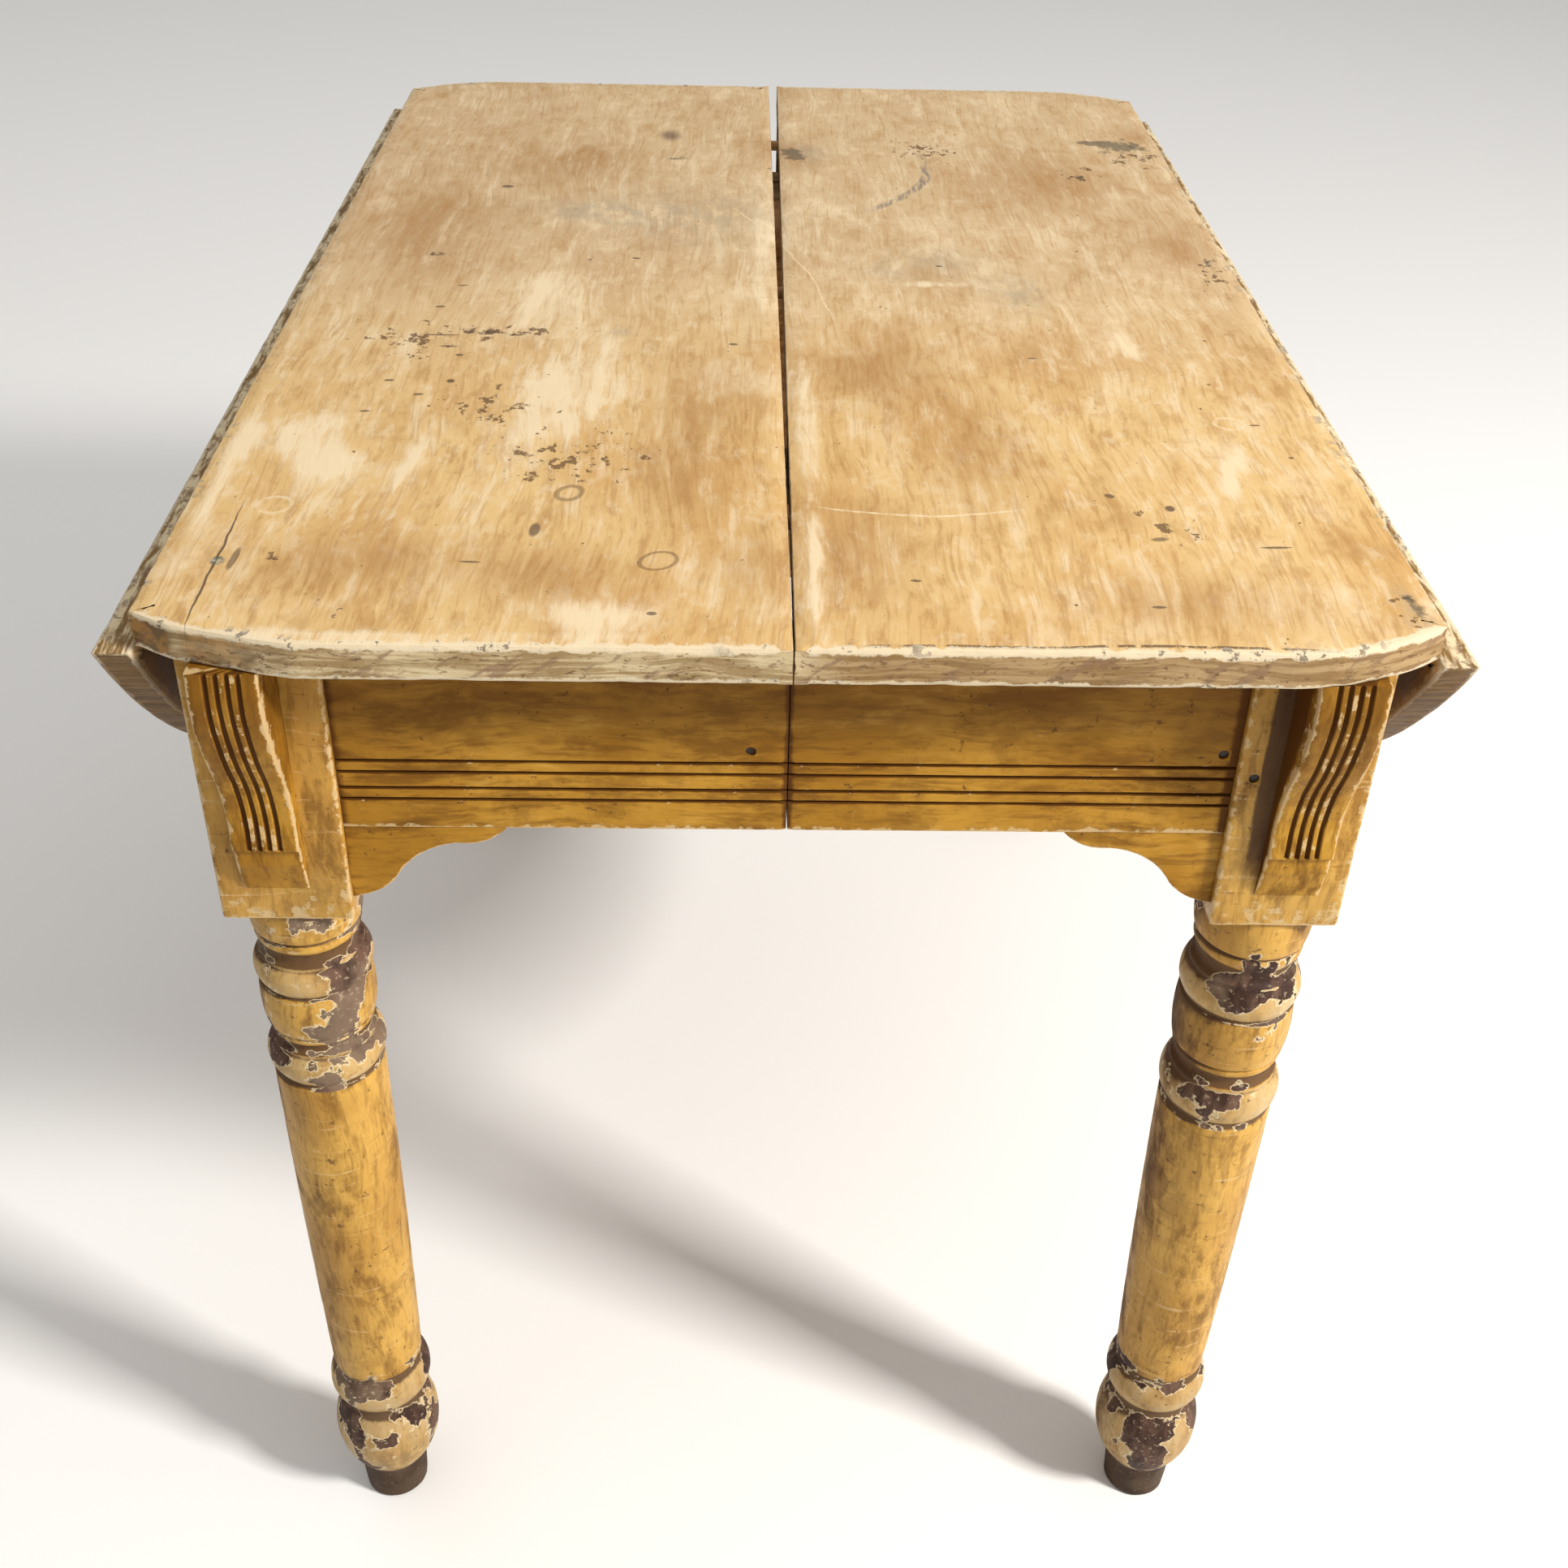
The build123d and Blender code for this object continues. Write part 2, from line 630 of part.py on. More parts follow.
def prop_lugs(side):
    """Two iron angle lugs that carry a prop's pivot pin."""
    face = side * HINGE_X
    pivot_x, pivot_z = side * (HINGE_X - PROP_OFF), UNDER - PROP_PIVOT
    inner_y = PROP_WIDTH / 2 + LUG_PLAY
    with BuildPart() as lugs:
        for across in (-1, 1):
            block(
                (face, across * inner_y, pivot_z - LUG_RISE),
                (face - side * PLATE, across * (inner_y + LUG + LUG_BASE), pivot_z + LUG_RISE),
            )
            block(
                (face, across * inner_y, pivot_z - LUG_R),
                (pivot_x, across * (inner_y + LUG), pivot_z + LUG_R),
            )
            with BuildSketch(Plane(origin=(pivot_x, across * inner_y, pivot_z), z_dir=(0, across, 0))):
                Circle(LUG_R)
            extrude(amount=LUG)
        with BuildSketch(Plane(origin=(pivot_x, 0, pivot_z), z_dir=(0, 1, 0))):
            Circle(PROP_PIN_R)
        extrude(amount=PROP_WIDTH, both=True, mode=Mode.SUBTRACT)
        add(screws(lug_screw_places(side), (side, 0, 0), SHORT_SCREW).part, mode=Mode.SUBTRACT)
    return lugs


def prop_pin(side):
    """Pivot pin of a prop, riveted over at both ends."""
    reach = PROP_WIDTH / 2 + LUG_PLAY + LUG
    with BuildPart() as pin:
        with BuildSketch(
            Plane(origin=(side * (HINGE_X - PROP_OFF), 0, UNDER - PROP_PIVOT), z_dir=(0, 1, 0))
        ):
            Circle(PROP_PIN_R)
        extrude(amount=reach, both=True)
        for across in (-1, 1):
            head = Plane(
                origin=(side * (HINGE_X - PROP_OFF), across * reach, UNDER - PROP_PIVOT),
                z_dir=(0, across, 0),
            )
            with BuildSketch(head):
                Circle(RIVET_R)
            extrude(amount=RIVET, taper=12)
    return pin


def prop(side):
    """Hinged wooden prop, folded flat along the leaf, rounded at both ends and tapered in width."""
    pivot = (side * (HINGE_X - PROP_OFF), UNDER - PROP_PIVOT)
    toe = (pivot[0], pivot[1] - (PROP_LENGTH - PROP_R))
    with BuildPart() as stay:
        with BuildSketch(Plane(origin=(pivot[0], 0, 0), x_dir=(0, 1, 0), z_dir=(1, 0, 0))):
            with BuildLine():
                Polyline(
                    (-PROP_WIDTH / 2, pivot[1] + PROP_R),
                    (-PROP_WIDTH / 2, pivot[1] - PROP_SHOULDER),
                    (-PROP_TOE / 2, toe[1] - PROP_R),
                    (PROP_TOE / 2, toe[1] - PROP_R),
                    (PROP_WIDTH / 2, pivot[1] - PROP_SHOULDER),
                    (PROP_WIDTH / 2, pivot[1] + PROP_R),
                    close=True,
                )
            make_face()
        extrude(amount=PROP_R, both=True)
        with BuildSketch(Plane.XZ):
            with Locations((pivot[0], (pivot[1] + toe[1]) / 2)):
                SlotCenterToCenter(PROP_LENGTH - PROP_R, 2 * PROP_R, rotation=90)
        extrude(amount=PROP_WIDTH, both=True, mode=Mode.INTERSECT)
        with BuildSketch(Plane(origin=(pivot[0], 0, pivot[1]), z_dir=(0, 1, 0))):
            Circle(PROP_PIN_R + PIN_PLAY)
        extrude(amount=PROP_WIDTH, both=True, mode=Mode.SUBTRACT)
    return stay


def raised_toe():
    """Centre of the prop's round toe, as x and z, with the leaf level and the prop in place."""
    pivot = (HINGE_X + PROP_PIVOT, UNDER - PROP_OFF)
    arm, down = PROP_LENGTH - PROP_R, radians(PROP_DOWN)
    return (pivot[0] - arm * cos(down), pivot[1] - arm * sin(down))


def prop_catch(side):
    """Wedge-shaped catch on a side apron, its face along the path by which the toe arrives."""
    toe = raised_toe()
    arm = PROP_LENGTH - PROP_R
    swing = PROP_RATIO - 1
    travel_in = arm * swing * sin(radians(PROP_DOWN)) - PROP_OFF
    travel_up = arm * swing * cos(radians(PROP_DOWN)) + PROP_PIVOT
    lean = atan2(travel_in, travel_up) - radians(CATCH_EASE)
    touch = (
        toe[0] - (PROP_R + CATCH_PLAY) * cos(lean),
        toe[1] - (PROP_R + CATCH_PLAY) * sin(lean),
    )
    with BuildPart() as catch:
        with BuildSketch(Plane.XZ):
            with BuildLine():
                Polyline(
                    (side * SIDE_OUT_X, CATCH_TOP),
                    (side * (touch[0] - (CATCH_TOP - touch[1]) * tan(lean)), CATCH_TOP),
                    (side * (touch[0] - (CATCH_BOTTOM - touch[1]) * tan(lean)), CATCH_BOTTOM),
                    (side * SIDE_OUT_X, CATCH_BOTTOM),
                    close=True,
                )
            make_face()
        extrude(amount=CATCH_HALF, both=True)
        add(catch_screws(side, CATCH_SCREW_HOLE).part, mode=Mode.SUBTRACT)
    return catch


def catch_screws(side, sink=0.0):
    """Screws of a catch. With sink they include the open counterbore above each head."""
    return screws(catch_screw_places(side), (-side, 0, 0), 22.0, sink=sink)


for side_name, sign in SIDES.items():
    save(top_board(sign), f"top_board_{side_name}")
    save(side_apron(sign), f"side_apron_{side_name}")
    save(glue_blocks(sign), f"glue_blocks_{side_name}")
    save(nails(sign, False), f"nails_{side_name}")
    save(runner_screws(sign), f"runner_screws_{side_name}")
    save(hinge_plates_top(sign), f"hinge_plates_top_{side_name}")
    save(hinge_pins(sign), f"hinge_pins_{side_name}")
    save(screws(hinge_top_screw_places(sign), (0, 0, 1), SHORT_SCREW), f"hinge_screws_top_{side_name}")
    save(prop_catch(sign), f"prop_catch_{side_name}")
    save(catch_screws(sign), f"catch_screws_{side_name}")
    save(leaf(sign), f"leaf_{side_name}")
    save(hinge_plates_leaf(sign), f"hinge_plates_leaf_{side_name}")
    save(screws(hinge_leaf_screw_places(sign), (sign, 0, 0), SHORT_SCREW), f"hinge_screws_leaf_{side_name}")
    save(prop_lugs(sign), f"prop_lugs_{side_name}")
    save(screws(lug_screw_places(sign), (sign, 0, 0), SHORT_SCREW), f"lug_screws_{side_name}")
    save(prop_pin(sign), f"prop_pin_{side_name}")
    save(prop(sign), f"prop_{side_name}")
    for end_name, end_sign in ENDS.items():
        save(leg(sign, end_sign), f"leg_{end_name}_{side_name}")
        save(end_apron(sign, end_name), f"apron_{end_name}_{side_name}")
        save(spandrel(sign, end_sign), f"spandrel_{end_name}_{side_name}")
        save(corbel(sign, end_sign), f"corbel_{end_name}_{side_name}")
        save(fixed_runner(sign, end_sign), f"runner_{end_name}_{side_name}")

save(dowels(DOWEL_R, DOWEL_OUT), "dowels")
save(slide_tie(), "slide_tie")
save(tie_screws(), "tie_screws")
for end_name, end_sign in ENDS.items():
    save(middle_runner(end_sign), f"runner_{end_name}_middle")
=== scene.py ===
"""Looks of the drop-leaf extension table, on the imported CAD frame.

Everything is in metres in the table's own frame: X across the leaves, Y along the hinges,
Z up, with the origin on the floor under the middle of the top.
"""
import math

import bmesh
import bpy
import numpy as np
from mathutils import Matrix, Vector, geometry, noise


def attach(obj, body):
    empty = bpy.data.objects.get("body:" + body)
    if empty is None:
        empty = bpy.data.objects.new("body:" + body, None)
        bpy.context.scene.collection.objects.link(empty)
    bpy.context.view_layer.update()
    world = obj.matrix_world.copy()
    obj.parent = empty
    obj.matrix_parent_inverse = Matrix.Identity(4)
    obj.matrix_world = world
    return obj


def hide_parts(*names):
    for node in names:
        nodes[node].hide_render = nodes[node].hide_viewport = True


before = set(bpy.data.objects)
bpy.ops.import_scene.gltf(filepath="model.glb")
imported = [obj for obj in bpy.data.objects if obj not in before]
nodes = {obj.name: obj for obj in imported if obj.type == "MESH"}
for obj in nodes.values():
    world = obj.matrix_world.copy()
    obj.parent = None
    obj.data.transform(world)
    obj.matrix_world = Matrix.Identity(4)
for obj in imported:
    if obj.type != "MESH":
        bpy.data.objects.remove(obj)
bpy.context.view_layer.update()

SIDES = {"left": -1, "right": 1}
ENDS = {"front": -1, "back": 1}

# Driving sizes, the same as the CAD's
TOP, BOARD = 0.737, 0.019
UNDER = TOP - BOARD
HALF_LENGTH = 0.488
HINGE_X = 0.317
POST, POST_OUT_X, POST_OUT_Y, POST_BOTTOM = 0.0705, 0.302, 0.452, 0.543
POST_IN_X = POST_OUT_X - POST
APRON, APRON_BOTTOM, APRON_OUT_Y = 0.022, 0.602, 0.447
LEAF_RADIUS = 0.563
CORNER_ACROSS, CORNER_ALONG, CORNER_SAG = 0.078, 0.029, 0.00641
HINGE_YS, BARREL_HALF, BARREL_HOLE = (-0.310, 0.0, 0.310), 0.0305, 0.004
DOWEL_YS, DOWEL_HOLE, DOWEL_DEPTH = (-0.340, 0.0, 0.340), 0.0043, 0.015
NAIL_HOLE, NAIL_DEPTH = 0.0028, 0.0037
POST_NAIL = (0.240, 0.6414)
APRON_NAILS = {-1: (0.0192, 0.6520), 1: (0.2235, 0.6526)}

# Half widths of the split between the table's halves, by end
TOP_SPLIT = {-1: 0.0004, 1: 0.0036}
APRON_SPLIT = {-1: 0.0003, 1: 0.0036}
# How far the boards' edges stay back at the hinge line
REVEAL = 0.0004


# ---- mesh helpers

def wander(x, y, z, seed=0.0):
    """Smooth noise between about -1 and 1."""
    return noise.noise(Vector((x + seed * 3.7, y - seed * 1.9, z + seed * 5.3)))


def straight(a, b, pieces):
    """Points on the line from a to b, b left out."""
    return [(a[0] + (b[0] - a[0]) * k / pieces, a[1] + (b[1] - a[1]) * k / pieces)
            for k in range(pieces)]


def arc(cx, cy, radius, start, turn, pieces):
    """Points on an arc that starts at an angle and turns on, its end left out."""
    return [(cx + radius * math.cos(start + turn * k / pieces),
             cy + radius * math.sin(start + turn * k / pieces)) for k in range(pieces)]


def dense(points, step):
    """A closed outline with points added along its sides, about one each step."""
    out = []
    for i, a in enumerate(points):
        b = points[(i + 1) % len(points)]
        out += straight(a, b, max(1, round(math.dist(a, b) / step)))
    return out


def bulged(a, b, bulge, step):
    """Points from a to b, b left out, on an arc that stands out by bulge to the left of travel."""
    span = math.dist(a, b)
    if abs(bulge) < 1e-9:
        return straight(a, b, max(1, math.ceil(span / step)))
    radius = (span * span / 4 + bulge * bulge) / (2 * bulge)
    nx, ny = -(b[1] - a[1]) / span, (b[0] - a[0]) / span
    cx = (a[0] + b[0]) / 2 + nx * (bulge - radius)
    cy = (a[1] + b[1]) / 2 + ny * (bulge - radius)
    start = math.atan2(a[1] - cy, a[0] - cx)
    turn = math.atan2(b[1] - cy, b[0] - cx) - start
    turn = (turn + math.pi) % (2 * math.pi) - math.pi
    if abs(bulge) > span / 2:
        turn -= math.copysign(2 * math.pi, turn)
    return arc(cx, cy, abs(radius), start, turn, max(3, math.ceil(abs(turn * radius) / step)))


def tube(rings, around):
    """Faces of a stack of closed rings of vertices, the first and last ring as its ends."""
    faces = []
    for k in range(rings - 1):
        for i in range(around):
            j = (i + 1) % around
            faces.append((k * around + i, k * around + j,
                          (k + 1) * around + j, (k + 1) * around + i))
    last = (rings - 1) * around
    return faces + [tuple(range(around)), tuple(range(last, last + around))]


def placed(name, data):
    """A new object in the scene."""
    piece = bpy.data.objects.new(name, data)
    bpy.context.collection.objects.link(piece)
    return piece


def build(name, verts, faces, values, body, slot, material, stands_for, crease=35):
    """One piece from plain lists, with float values at its vertices for the material."""
    mesh = bpy.data.meshes.new(name)
    mesh.from_pydata([tuple(v) for v in verts], [], faces)
    for key, numbers in values.items():
        layer = mesh.attributes.new(key, "FLOAT", "POINT")
        layer.data.foreach_set("value", np.asarray(numbers, dtype=np.float32))
    work = bmesh.new()
    work.from_mesh(mesh)
    bmesh.ops.recalc_face_normals(work, faces=work.faces)
    work.to_mesh(mesh)
    work.free()
    mesh.shade_smooth()
    mesh.set_sharp_from_angle(angle=math.radians(crease))
    mesh.materials.append(material)
    piece = placed(name, mesh)
    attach(piece, body)
    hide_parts(*stands_for)
    return piece


def merged(parts):
    """Several (verts, faces, values) as one."""
    verts, faces, values = [], [], {key: [] for key in parts[0][2]}
    for some, tops, numbers in parts:
        faces += [tuple(i + len(verts) for i in f) for f in tops]
        verts += list(some)
        for key in values:
            values[key] += list(numbers[key])
    return verts, faces, values


def kept_inside(points, outline, inset):
    """Push inset points of a convex outline in until each is its inset from every side."""
    along = np.roll(outline, -1, 0) - outline
    along /= np.linalg.norm(along, axis=1)[:, None]
    normal = np.stack([-along[:, 1], along[:, 0]], 1)
    points = points.copy()
    for _ in range(8):
        depth = ((points[:, None, :] - outline[None]) * normal[None]).sum(2)
        worst = depth.argmin(1)
        lack = inset - depth[np.arange(len(points)), worst]
        points += normal[worst] * np.maximum(lack, 0.0)[:, None]
    return points


def slab(outline, low, high, place, arris=0.0012, wear=0.002, cap=0.008, seed=0.0,
         gouge=0.0004, grid=0.0, gain=lambda a, b: 1.0, convex=True):
    """A board from a counter-clockwise outline, with both arrises and its rim worn inwards.

    place turns (a, b, thickness) into (x, y, z). With a grid the high face gets inner points.
    gain says how much of the wear each point of the outline has.
    """
    pts = np.array(outline)
    before, after = pts - np.roll(pts, 1, 0), np.roll(pts, -1, 0) - pts
    before /= np.linalg.norm(before, axis=1)[:, None]
    after /= np.linalg.norm(after, axis=1)[:, None]
    left = np.stack([-before[:, 1], before[:, 0]], 1)
    inward = left + np.stack([-after[:, 1], after[:, 0]], 1)
    inward /= np.linalg.norm(inward, axis=1)[:, None]
    inward /= np.maximum(0.35, (inward * left).sum(1))[:, None]
    count = len(pts)

    def rub(scale, level, offset):
        return np.array([max(0.0, wander(a * scale, b * scale, level, seed + offset))
                         for a, b in pts])

    tops = arris + wear * (rub(38, 0.0, 1) ** 1.5 + 0.7 * rub(120, 1.0, 2))
    lows = arris + wear * (rub(38, 5.0, 3) ** 1.5 + 0.7 * rub(120, 6.0, 4))
    share = np.array([gain(a, b) for a, b in pts])
    tops, lows = tops * share, lows * share
    thick = high - low
    caps = np.full(count, cap) if convex else cap * share
    rings = [
        (caps, np.full(count, low), 0.0, 0.0),
        (lows, np.full(count, low), 0.75, 0.2),
        (lows * 0.29, low + lows * 0.29, 1.0, 0.6),
        (lows * 0.0, low + lows, 0.6, 1.0),
    ]
    for part in (0.3, 0.5, 0.7):
        bite = gouge * (rub(90, 9 + part * 4, 5) + rub(260, 9 + part * 9, 6))
        rings.append((bite, np.full(count, low + thick * part), 0.0, 1.0))
    rings += [
        (tops * 0.0, high - tops, 0.6, 1.0),
        (tops * 0.29, high - tops * 0.29, 1.0, 0.6),
        (tops, np.full(count, high), 0.75, 0.2),
        (caps, np.full(count, high), 0.0, 0.0),
    ]
    verts, edge, rim = [], [], []
    for inset, level, sharp, side in rings:
        at = pts + inward * inset[:, None]
        if convex and inset.max() > 0.0045:
            at = kept_inside(at, pts, inset)
        verts += [place(a, b, c) for (a, b), c in zip(at, level)]
        edge += list(sharp * share)
        rim += [side] * count
    *faces, bottom, top = tube(len(rings), count)
    around = [(i, (i + 1) % count) for i in range(count)]
    if not convex:
        flat = [Vector(p) for p in pts + inward * caps[:, None]]
        _, _, triangles, origin, _, _ = geometry.delaunay_2d_cdt(flat, around, [], 1, 1e-7)
        for t in triangles:
            corners = tuple(min(origin[i]) for i in t if origin[i])
            if len(corners) == 3:
                faces += [corners, tuple(top[i] for i in corners)]
    elif grid:
        faces.append(bottom)
        ring = kept_inside(pts + inward * cap, pts, np.full(count, cap))
        lo, hi = ring.min(0), ring.max(0)
        inner = np.array([(a, b) for a in np.arange(lo[0] + grid, hi[0], grid)
                          for b in np.arange(lo[1] + grid, hi[1], grid)])
        for (a, b), (da, db) in zip(pts, after):
            deep = da * (inner[:, 1] - b) - db * (inner[:, 0] - a)
            inner = inner[deep > cap + grid * 0.5]
        flat = [Vector(p) for p in ring] + [Vector(p) for p in inner]
        made, _, triangles, origin, _, _ = geometry.delaunay_2d_cdt(flat, around, [], 1, 1e-5)
        index = []
        for spot, source in zip(made, origin):
            if source and min(source) < count:
                index.append(top[min(source)])
            else:
                index.append(len(verts))
                verts.append(place(spot[0], spot[1], high))
                edge.append(0.0)
                rim.append(0.0)
        faces += [tuple(index[i] for i in t) for t in triangles]
    else:
        faces += [bottom, top]
    return verts, faces, {"edge": edge, "rim": rim, "dirt": [0.0] * len(verts)}


def cut(piece, cutters, overlapping=False):
    """Cut holes: each cutter is (centre, direction, radius, length), starting at the centre.

    overlapping is for a piece made of closed shells that run into each other.
    """
    work = bmesh.new()
    for centre, direction, radius, length in cutters:
        turn = Vector(direction).to_track_quat("Z", "Y").to_matrix().to_4x4()
        middle = Vector(centre) + Vector(direction) * length / 2
        bmesh.ops.create_cone(work, cap_ends=True, segments=20, radius1=radius, radius2=radius,
                              depth=length, matrix=Matrix.Translation(middle) @ turn)
    mesh = bpy.data.meshes.new("cutter")
    work.to_mesh(mesh)
    work.free()
    tool = placed("cutter", mesh)
    change = piece.modifiers.new("holes", "BOOLEAN")
    change.operation, change.solver, change.object = "DIFFERENCE", "EXACT", tool
    change.use_self = overlapping
    bpy.context.view_layer.update()
    done = bpy.data.meshes.new_from_object(
        piece.evaluated_get(bpy.context.evaluated_depsgraph_get()))
    piece.modifiers.clear()
    piece.data = done
    bpy.data.objects.remove(tool)


def hinge_pockets(side):
    """Cutters for the barrels of one leaf's hinges."""
    return [((side * HINGE_X, y - BARREL_HALF, UNDER), (0, 1, 0), BARREL_HOLE, 2 * BARREL_HALF)
            for y in HINGE_YS]


def nail_hole(x, face, end, z):
    """Cutter for a nail in a face turned to one end, from just outside it."""
    return (x, end * (face + 0.001), z), (0, -end, 0), NAIL_HOLE, NAIL_DEPTH


# ---- materials

class Finish:
    """A procedural material in the table's own metres."""

    def __init__(self, name):
        self.material = bpy.data.materials.new(name)
        self.material.use_nodes = True
        self.tree = self.material.node_tree
        self.tree.nodes.clear()
        self.surface = self.add("ShaderNodeBsdfPrincipled")
        out = self.add("ShaderNodeOutputMaterial")
        self.tree.links.new(self.surface.outputs[0], out.inputs[0])
        self.at = self.add("ShaderNodeTexCoord").outputs["Object"]
        self.colour = None

    def add(self, kind, sockets=None, **settings):
        node = self.tree.nodes.new(kind)
        for key, value in settings.items():
            setattr(node, key, value)
        for key, value in (sockets or {}).items():
            if isinstance(value, bpy.types.NodeSocket):
                self.tree.links.new(value, node.inputs[key])
            elif isinstance(value, tuple) and len(value) == 3 and node.inputs[key].type == "RGBA":
                node.inputs[key].default_value = (*value, 1.0)
            else:
                node.inputs[key].default_value = value
        return node

    def sum(self, a, b):
        return self.math("ADD", a, b)

    def less(self, a, b):
        return self.math("SUBTRACT", a, b)

    def times(self, a, b):
        return self.math("MULTIPLY", a, b)

    def weighted(self, first, *others):
        """Sum of (value, weight) pairs."""
        total = self.times(*first)
        for pair in others:
            total = self.sum(total, self.times(*pair))
        return total

    def centred(self, value, gain):
        """Noise about zero instead of a half, made stronger or weaker."""
        return self.times(self.less(value, 0.5), gain)

    def math(self, operation, a, b=0.0):
        return self.add("ShaderNodeMath", {0: a, 1: b}, operation=operation).outputs[0]

    def either(self, most, *others):
        for other in others:
            most = self.math("MAXIMUM", most, other)
        return most

    def vector(self, operation, a, b):
        node = self.add("ShaderNodeVectorMath", {0: a, 1: b}, operation=operation)
        return node.outputs["Value" if operation in ("LENGTH", "DISTANCE") else "Vector"]

    def scaled(self, vector, xyz):
        return self.vector("MULTIPLY", vector, xyz)

    def noise(self, vector, scale=1.0, detail=4.0, rough=0.55, twist=0.0):
        return self.add("ShaderNodeTexNoise", {
            "Vector": vector, "Scale": scale, "Detail": detail, "Roughness": rough,
            "Distortion": twist}).outputs["Fac"]

    def streaks(self, vector, scales, detail, rough):
        """Noise with its own scale along each axis."""
        return self.noise(self.scaled(vector, scales), 1.0, detail, rough)

    def drift(self, vector, scale, amount):
        """The same vector, pushed about by broad noise."""
        push = self.add("ShaderNodeTexNoise", {"Vector": vector, "Scale": scale, "Detail": 2.0})
        centred = self.vector("SUBTRACT", push.outputs["Color"], (0.5, 0.5, 0.5))
        return self.vector("ADD", vector, self.scaled(centred, (amount, amount, amount)))

    def step(self, value, low, high, to_low=0.0, to_high=1.0):
        return self.add("ShaderNodeMapRange", {
            "Value": value, "From Min": low, "From Max": high, "To Min": to_low,
            "To Max": to_high}, interpolation_type="SMOOTHSTEP").outputs[0]

    def mix(self, factor, a, b):
        return self.add("ShaderNodeMix", {0: factor, 6: a, 7: b}, data_type="RGBA").outputs[2]

    def over(self, under, mask, share, paint):
        """Paint laid over a colour where the mask is, share of it covering."""
        return self.mix(self.times(mask, share), under, paint)

    def lay(self, mask, paint):
        """Paint laid over the colour so far where the mask is."""
        self.colour = self.mix(mask, self.colour, paint)

    def coat(self, mask, share, paint):
        self.lay(self.times(mask, share), paint)

    def value(self, name):
        return self.add("ShaderNodeAttribute", attribute_name=name).outputs["Fac"]

    def axis(self, vector, letter):
        return self.add("ShaderNodeSeparateXYZ", {0: vector}).outputs[letter]

    def spot(self, vector, centre, radii, soft=0.4):
        """1 inside an ellipsoid about centre, fading to 0 at its rim."""
        away = self.scaled(self.vector("SUBTRACT", vector, centre), tuple(1 / r for r in radii))
        far = self.vector("LENGTH", away, (0.0, 0.0, 0.0))
        return self.step(far, 1.0 - soft, 1.0, 1.0, 0.0)

    def ring(self, vector, centre, radius, width):
        """1 on a thin circle about centre in the plane of the top."""
        away = self.vector("SUBTRACT", vector, centre)
        far = self.vector("LENGTH", away, (0.0, 0.0, 0.0))
        off = self.math("ABSOLUTE", self.less(far, radius))
        return self.step(off, width * 0.4, width, 1.0, 0.0)

    def finish(self, rough, height, depth, strength, **plain):
        bump = self.add("ShaderNodeBump", {
            "Height": height, "Distance": depth, "Strength": strength})
        self.tree.links.new(bump.outputs[0], self.surface.inputs["Normal"])
        self.tree.links.new(self.colour, self.surface.inputs["Base Color"])
        self.tree.links.new(rough, self.surface.inputs["Roughness"])
        for key, value in plain.items():
            self.surface.inputs[key.replace("_", " ")].default_value = value
        return self.material


# Paints, woods and dirt
CREAM = (0.74, 0.60, 0.395)
STRAW = (0.64, 0.435, 0.19)
HONEY = (0.55, 0.33, 0.12)
TAN = (0.38, 0.195, 0.055)
UMBER = (0.13, 0.065, 0.025)
SLATE = (0.15, 0.135, 0.125)
BEIGE = (0.40, 0.33, 0.22)
FAR_STRAW = (0.53, 0.405, 0.27)
RED_TAN = (0.35, 0.175, 0.055)
DULL = (0.37, 0.315, 0.225)
TAR = (0.10, 0.08, 0.05)
PIT = (0.085, 0.05, 0.03)
RIM_BROWNS = (0.23, 0.13, 0.045), (0.36, 0.23, 0.10)
RIM_FLAT = (0.16, 0.095, 0.03)
BRUISE = (0.20, 0.115, 0.065)
LEAF_INSIDE_WOOD_AND_SHADE = (0.085, 0.042, 0.014), (0.17, 0.09, 0.035)
ARRIS_CREAM = (0.68, 0.575, 0.40)
BROWN = (0.155, 0.062, 0.006)
PALE_OCHRE = (0.68, 0.41, 0.10)
THIN_CREAM = (0.50, 0.385, 0.215)
HAND_RUB = (0.66, 0.47, 0.22)
RUBBED_EDGE = (0.66, 0.49, 0.26)
PAINT_LIP = (0.66, 0.53, 0.33)
OLD_COAT = (0.040, 0.018, 0.011), (0.135, 0.075, 0.050)
SOLE_BROWN = (0.042, 0.022, 0.009)

# Dents and knocks in the top, in millimetres: centre and half sizes
NICKS = (
    (-216, -204, 3.4, 2.2), (-234, -180, 3.6, 2.2), (-240, -228, 3.2, 1.7), (-198, -138, 3, 2.2),
    (-206, -124, 6.6, 1.8), (-213, -104, 15, 1.6), (-222, -56, 4, 1.8), (-214, -20, 4.2, 1.4),
    (-205, 190, 6, 4), (-100, 36, 3.6, 2), (-30, -115, 3.4, 2.2), (-66, -452, 3, 2),
    (-135, -366, 3.6, 10), (-160, -402, 6, 1.2), (170, -322, 3, 3.4), (273, -226, 3.6, 1.4),
    (284, -269, 2, 1.8), (61, -420, 3.6, 1.6), (249, -382, 11, 1.6), (176, -443, 5, 1.6),
    (155, -130, 3.6, 1.4), (110, 30, 3, 2),
)


